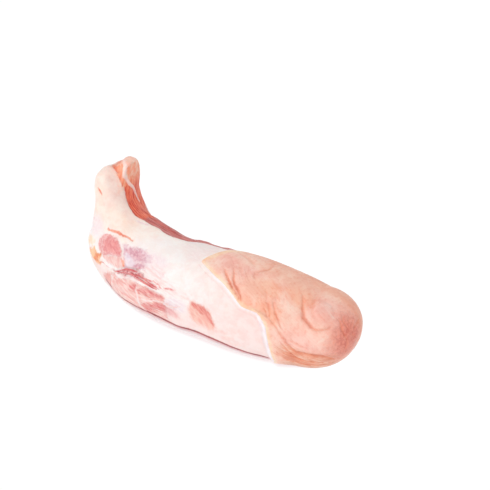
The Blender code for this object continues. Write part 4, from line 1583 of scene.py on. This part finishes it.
    def build(self, finish: bpy.types.Material) -> bpy.types.Object:
        """Build the piece.

        Args:
            finish: Its material.

        Returns:
            The piece.
        """
        form = self.form
        angle = spread(-180.0, 180.0, self.around + 1, NEAR_SIDE, 0.8)[:-1]
        edge_angle, edge = form.edge_columns(angle)
        last = form.tip_x - self.shoulder
        share = np.linspace(0.0, 1.0, self.dense)[:, None]
        away, rise = np.array(self.lip).T
        stations, turns = form.beside_edge(edge_angle, edge, np.append(away, away[-1] + 0.5))
        turning = turns[-1] + (angle - turns[-1]) * ease(share / 0.8)
        lip = form.profile(stations[:-1], np.zeros(len(rise)), turns[:-1])
        body = form.profile(stations[-1] + (last - stations[-1]) * share, np.zeros(self.dense), turning)
        tilt = np.linspace(0.0, 90.0, self.dense)
        tip = form.profile(np.full((self.dense, self.around), last), tilt, angle)
        rest = resample(np.concatenate([body, tip[1:]]), np.linspace(0.0, 1.0, self.rings))
        rings = np.concatenate([lip, rest])
        relief = Relief(form, rings)
        base = np.concatenate([rise, np.full(self.rings, self.proud)])
        folds, tint = self.folds(relief)
        height = base[:, None] + folds * ease((base + 0.2) / 0.8)[:, None]
        height += self.bulge.height * relief.dome(self.bulge)
        out = rings + relief.normal * height[..., None]
        angles = form.angle_of(rings)
        from_edge = np.where(rings[..., 0] > last, FAR_AWAY, form.from_edge(rings))
        # The lip's two lowest rings are the edge itself.
        from_edge[:2] = 0.0
        masks = self.masks(relief, angles, from_edge, tint)
        masks["run"] = lengthwise(rings, angles)
        inner = np.array([[edge.mean() + 6.0, 0.0, form.core_z]])
        mesh = closed_mesh("rind_sleeve", form.place(out[:-1]), form.place(inner), form.place(out[-1, :1]))
        for name, values in masks.items():
            write_attribute(mesh, name, values[:-1])
        mesh.materials.append(finish)
        texture = surface_texture("rind_texture", finish, lump_mm=14.0, lump_height=0.45, fine_mm=3.2)
        return texture.apply(link("rind_sleeve", mesh))


def surface_texture(name: str, finish: bpy.types.Material, lump_mm: float, lump_height: float,
                    fine_mm: float, fine_height: float = 0.1, sunk: float = 0.25,
                    settled_mm: float = 2.5) -> GeometryTree:
    """A tree that gives a smooth surface its soft lumps and its fine unevenness.

    Args:
        name: Name of the tree.
        finish: Material it sets.
        lump_mm: Size of the lumps.
        lump_height: Height of the lumps, in mm.
        fine_mm: Size of the fine unevenness.
        fine_height: Its height, in mm.
        sunk: How far the lumps are set into the form, as a share of their height.
        settled_mm: Height above the floor from which the relief is full.

    Returns:
        The tree.
    """
    tree = GeometryTree(name)
    sizes = {"Lump Size": lump_mm * MM, "Lump Height": lump_height * MM,
             "Fine Size": fine_mm * MM, "Fine Height": fine_height * MM}
    sockets = {key: tree.size(key, value) for key, value in sizes.items()}
    material = tree.size("Finish", finish, "NodeSocketMaterial")
    place = tree.node("GeometryNodeInputPosition").outputs[0]
    lumps = tree.math("MULTIPLY", tree.noise(place, sockets["Lump Size"], 1.0), sockets["Lump Height"])
    fine = tree.math("MULTIPLY", tree.noise(place, sockets["Fine Size"], 3.0), sockets["Fine Height"])
    low = tree.math("MULTIPLY", tree.math("ABSOLUTE", fine, 0.0), -1.0)
    total = tree.math("ADD", lumps, low)
    # The lumps are set a little into the form, and the relief fades in above the floor.
    total = tree.math("SUBTRACT", total, tree.math("MULTIPLY", sockets["Lump Height"], sunk))
    split = tree.node("ShaderNodeSeparateXYZ")
    tree.join(place, split.inputs[0])
    raised = tree.math("MINIMUM", tree.math("MULTIPLY", split.outputs[2], 1.0 / (settled_mm * MM)), 1.0)
    total = tree.math("MULTIPLY", total, raised)
    scale = tree.node("ShaderNodeVectorMath", operation="SCALE")
    tree.join(tree.node("GeometryNodeInputNormal").outputs[0], scale.inputs[0])
    tree.join(total, scale.inputs["Scale"])
    move = tree.node("GeometryNodeSetPosition")
    tree.join(tree.given.outputs[0], move.inputs["Geometry"])
    tree.join(scale.outputs[0], move.inputs["Offset"])
    tree.finish(move.outputs[0], material)
    return tree


@dataclass
class MeatStrands:
    """Thin strands of torn meat and membrane that follow the lean, with their sizes in mm.

    thick is the radius of a strand in its middle and sway how far it is bent aside.
    """

    form: TailForm
    name: str
    finish: bpy.types.Material
    paths: list[Path]
    thick: float
    lift: float
    sway: float = 0.5
    sway_size: float = 3.0
    points: int = 24
    sides: int = 8

    def guide(self) -> bpy.types.Object:
        """The curves that the strands follow, just over the surface."""
        curve = bpy.data.curves.new(self.name, "CURVE")
        curve.dimensions = "3D"
        for marks in self.paths:
            path = np.array(marks, float)
            t = np.linspace(0, len(path) - 1, 4 * len(path))
            fine = np.stack([np.interp(t, np.arange(len(path)), column) for column in path.T], -1)
            points = self.form.at(fine)
            points = self.form.place(points + self.form.normals(points) * self.lift)
            spline = curve.splines.new("POLY")
            spline.points.add(len(points) - 1)
            spline.points.foreach_set("co", np.hstack([points, np.ones((len(points), 1))]).ravel())
        return link(self.name, curve)

    def bent(self, tree: GeometryTree) -> bpy.types.NodeSocket:
        """The guide curves, evenly spaced and bent a little by noise."""
        sway = tree.size("Wander", self.sway * MM)
        grain = tree.size("Grain", self.sway_size * MM)
        even = tree.node("GeometryNodeResampleCurve")
        even.inputs["Count"].default_value = self.points
        tree.join(tree.given.outputs[0], even.inputs["Curve"])
        wobble = tree.node("ShaderNodeTexNoise")
        tree.join(tree.node("GeometryNodeInputPosition").outputs[0], wobble.inputs["Vector"])
        tree.join(tree.math("DIVIDE", 1.0, grain), wobble.inputs["Scale"])
        centred = tree.node("ShaderNodeVectorMath", operation="SUBTRACT")
        tree.join(wobble.outputs["Color"], centred.inputs[0])
        centred.inputs[1].default_value = (0.5, 0.5, 0.5)
        offset = tree.node("ShaderNodeVectorMath", operation="SCALE")
        tree.join(centred.outputs[0], offset.inputs[0])
        tree.join(sway, offset.inputs["Scale"])
        move = tree.node("GeometryNodeSetPosition")
        tree.join(even.outputs[0], move.inputs["Geometry"])
        tree.join(offset.outputs[0], move.inputs["Offset"])
        return move.outputs[0]

    def build(self) -> bpy.types.Object:
        """Build the piece from guide curves and a Geometry Nodes tube.

        Returns:
            The piece.
        """
        tree = GeometryTree(self.name + "_tube")
        thick = tree.size("Thickness", self.thick * MM)
        material = tree.size("Finish", self.finish, "NodeSocketMaterial")
        share = tree.node("GeometryNodeSplineParameter").outputs["Factor"]
        # A strand is thickest in its middle and runs out to a fine point at both ends.
        taper = tree.math("MULTIPLY", tree.math("MULTIPLY", share, tree.math("SUBTRACT", 1.0, share)), 4.0)
        taper = tree.math("POWER", tree.math("ADD", taper, 0.02), 0.6)
        ring = tree.node("GeometryNodeCurvePrimitiveCircle")
        ring.inputs["Resolution"].default_value = self.sides
        tree.join(thick, ring.inputs["Radius"])
        radius = tree.node("GeometryNodeSetCurveRadius")
        tree.join(self.bent(tree), radius.inputs["Curve"])
        tree.join(taper, radius.inputs["Radius"])
        tube = tree.node("GeometryNodeCurveToMesh")
        tube.inputs["Fill Caps"].default_value = True
        tree.join(radius.outputs[0], tube.inputs["Curve"])
        tree.join(ring.outputs[0], tube.inputs["Profile Curve"])
        tree.join(taper, tube.inputs["Scale"])
        smooth = tree.node("GeometryNodeSetShadeSmooth")
        tree.join(tube.outputs[0], smooth.inputs[0])
        tree.finish(smooth.outputs[0], material)
        return tree.apply(self.guide())


# ------------------------------------------------------------------ stage
@dataclass(frozen=True)
class Studio:
    """White floor, soft light and the camera of the photograph."""

    azimuth: float = 28.6
    elevation: float = 40.0
    distance: float = 750.0
    pixels_per_mm: float = 1.82
    frame_px: float = 490.0
    origin_px: tuple[float, float] = (212.0, 320.0)
    sensor: float = 36.0
    lamp_place: Triple = (-0.15, -0.7, 0.95)
    lamp_size: float = 0.9
    lamp_watts: float = 5.4
    lamp_colour: Triple = (1.0, 0.985, 0.97)
    surroundings: float = 0.70
    surroundings_colour: Triple = (1.0, 0.99, 0.985)
    floor_half: float = 3.0
    floor_gap: float = 0.0002
    floor_glow: float = 1.03
    shadow_reach_mm: float = 3.0
    shadow_range: Mark = (0.1, 0.95)
    shadow_tint: Triple = (240, 216, 218)

    def camera(self, form: TailForm) -> None:
        """Place the camera so that the tail falls where the photograph has it."""
        a, e = math.radians(self.azimuth), math.radians(self.elevation)
        back = np.array([math.sin(a) * math.cos(e), -math.cos(a) * math.cos(e), math.sin(e)])
        right = np.array([math.cos(a), math.sin(a), 0.0])
        up = np.cross(back, right)
        focal = self.pixels_per_mm * self.distance
        u = (self.origin_px[0] - self.frame_px / 2) / focal
        v = -(self.origin_px[1] - self.frame_px / 2) / focal
        eye = -self.distance * (u * right + v * up - back)
        eye = eye + np.array([form.shift[0], form.shift[1], -form.flat_z])
        lens = bpy.data.cameras.new("camera")
        lens.sensor_width = self.sensor
        lens.lens = focal * self.sensor / self.frame_px
        lens.clip_start = 0.01
        camera = link("camera", lens)
        turn = Matrix((right, up, back)).transposed().to_4x4()
        camera.matrix_world = Matrix.Translation((eye * MM).tolist()) @ turn
        bpy.context.scene.camera = camera

    def light(self) -> None:
        """Bright even surroundings with one large soft lamp from the upper left."""
        world = bpy.data.worlds.new("studio")
        world.use_nodes = True
        background = world.node_tree.nodes["Background"]
        background.inputs["Color"].default_value = (*self.surroundings_colour, 1.0)
        background.inputs["Strength"].default_value = self.surroundings
        bpy.context.scene.world = world
        lamp = bpy.data.lights.new("key", "AREA")
        lamp.size = self.lamp_size
        lamp.energy = self.lamp_watts
        lamp.color = self.lamp_colour
        piece = link("key", lamp)
        aim = -np.array(self.lamp_place) / np.linalg.norm(self.lamp_place)
        side = np.cross(aim, (0.0, 0.0, 1.0))
        side /= np.linalg.norm(side)
        turn = Matrix((side, np.cross(side, aim), -aim)).transposed().to_4x4()
        piece.matrix_world = Matrix.Translation(self.lamp_place) @ turn

    def floor(self) -> bpy.types.Object:
        """The plain white floor, glowing evenly, with a painted contact shadow close to what lies on it."""
        mesh = bpy.data.meshes.new("floor")
        s, z = self.floor_half, -self.floor_gap
        mesh.from_pydata([(-s, -s, z), (s, -s, z), (s, s, z), (-s, s, z)], [], [(0, 1, 2, 3)])
        sheet = Sheet("floor_white")
        near = sheet.tree.nodes.new("ShaderNodeAmbientOcclusion")
        near.samples = 16
        near.inputs["Distance"].default_value = self.shadow_reach_mm * MM
        # Painted contact shadow: the glow turns pink-grey where the floor is hemmed in close to the tail.
        open_sky = sheet.between(near.outputs["AO"], *self.shadow_range)
        colour = sheet.mix(open_sky, linear(*self.shadow_tint), linear(255, 255, 255))
        sheet.finish({"Base Color": linear(0, 0, 0), "Roughness": 1.0, "Specular IOR Level": 0.0,
                      "Emission Color": colour, "Emission Strength": self.floor_glow})
        mesh.materials.append(sheet.material)
        return link("floor", mesh)


def pale_paths() -> list[Path]:
    """Paths of the thin pale strands that lie over the lower muscle."""
    rng = np.random.default_rng(11)
    found: list[Path] = [
        ((-44, 76.5), (-38.5, 76.5), (-34.5, 80), (-31.5, 88)),
        ((-48, 83.5), (-42.5, 84.5), (-37, 87.5), (-33.5, 95.5), (-31.5, 103)),
        ((-15, 75), (-11, 78), (-7, 77), (-3.5, 73)),
        ((-14, 78.5), (-9, 78.5), (-4.5, 76)),
    ]
    for _ in range(14):
        station, angle = rng.uniform(-54.0, -16.0), rng.uniform(70.0, 110.0)
        length, drift = rng.uniform(4.0, 12.0), rng.uniform(-3.0, 9.0)
        found.append(tuple((station + length * t, angle + drift * t + rng.normal(0.0, 0.8))
                           for t in np.linspace(0, 1, 5)))
    return found


TORN_PATHS: list[Path] = [
    ((-47.5, 67), (-44, 63), (-41.5, 58.5), (-37, 55.5), (-32.5, 54.5)),
    ((-49, 68.5), (-43, 63.5), (-38, 60), (-33, 59.5), (-28, 60.5), (-24, 61.5)),
    ((-41, 56.5), (-36, 54), (-32, 53.5)),
    ((-40, 61.5), (-36, 59), (-31, 58)),
    ((-34, 56.5), (-28, 57.5), (-22, 60.5), (-17, 62.5)),
    ((-31, 61.5), (-26, 62.5), (-20, 64)),
]


def main() -> None:
    """Build the tail, dress it and hand it to the frame."""
    logging.basicConfig(level=logging.INFO, format="%(name)s: %(message)s")
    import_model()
    bpy.context.scene.view_settings.view_transform = "Standard"

    # Blender seeds its noise from the clock, so it is set here and the bends are the same in each run.
    noise.seed_set(BEND_SEED)
    form = TailForm()
    studio = Studio()
    studio.camera(form)
    studio.light()
    studio.floor()

    pale, torn = PALE.build(), TORN.build()
    pieces = [FatSaddle(form).build(FLESH.build()), RindSleeve(form).build(RIND.build()),
              MeatStrands(form, "pale_strands", pale, pale_paths(), thick=0.16, lift=0.15).build(),
              MeatStrands(form, "torn_strands", torn, TORN_PATHS, thick=0.34, lift=0.25).build()]
    for piece in pieces:
        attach(piece, "root")
        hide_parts(NODE)
        LOG.info("%s: %d faces", piece.name, len(piece.data.polygons))


if __name__ == "__main__":
    main()
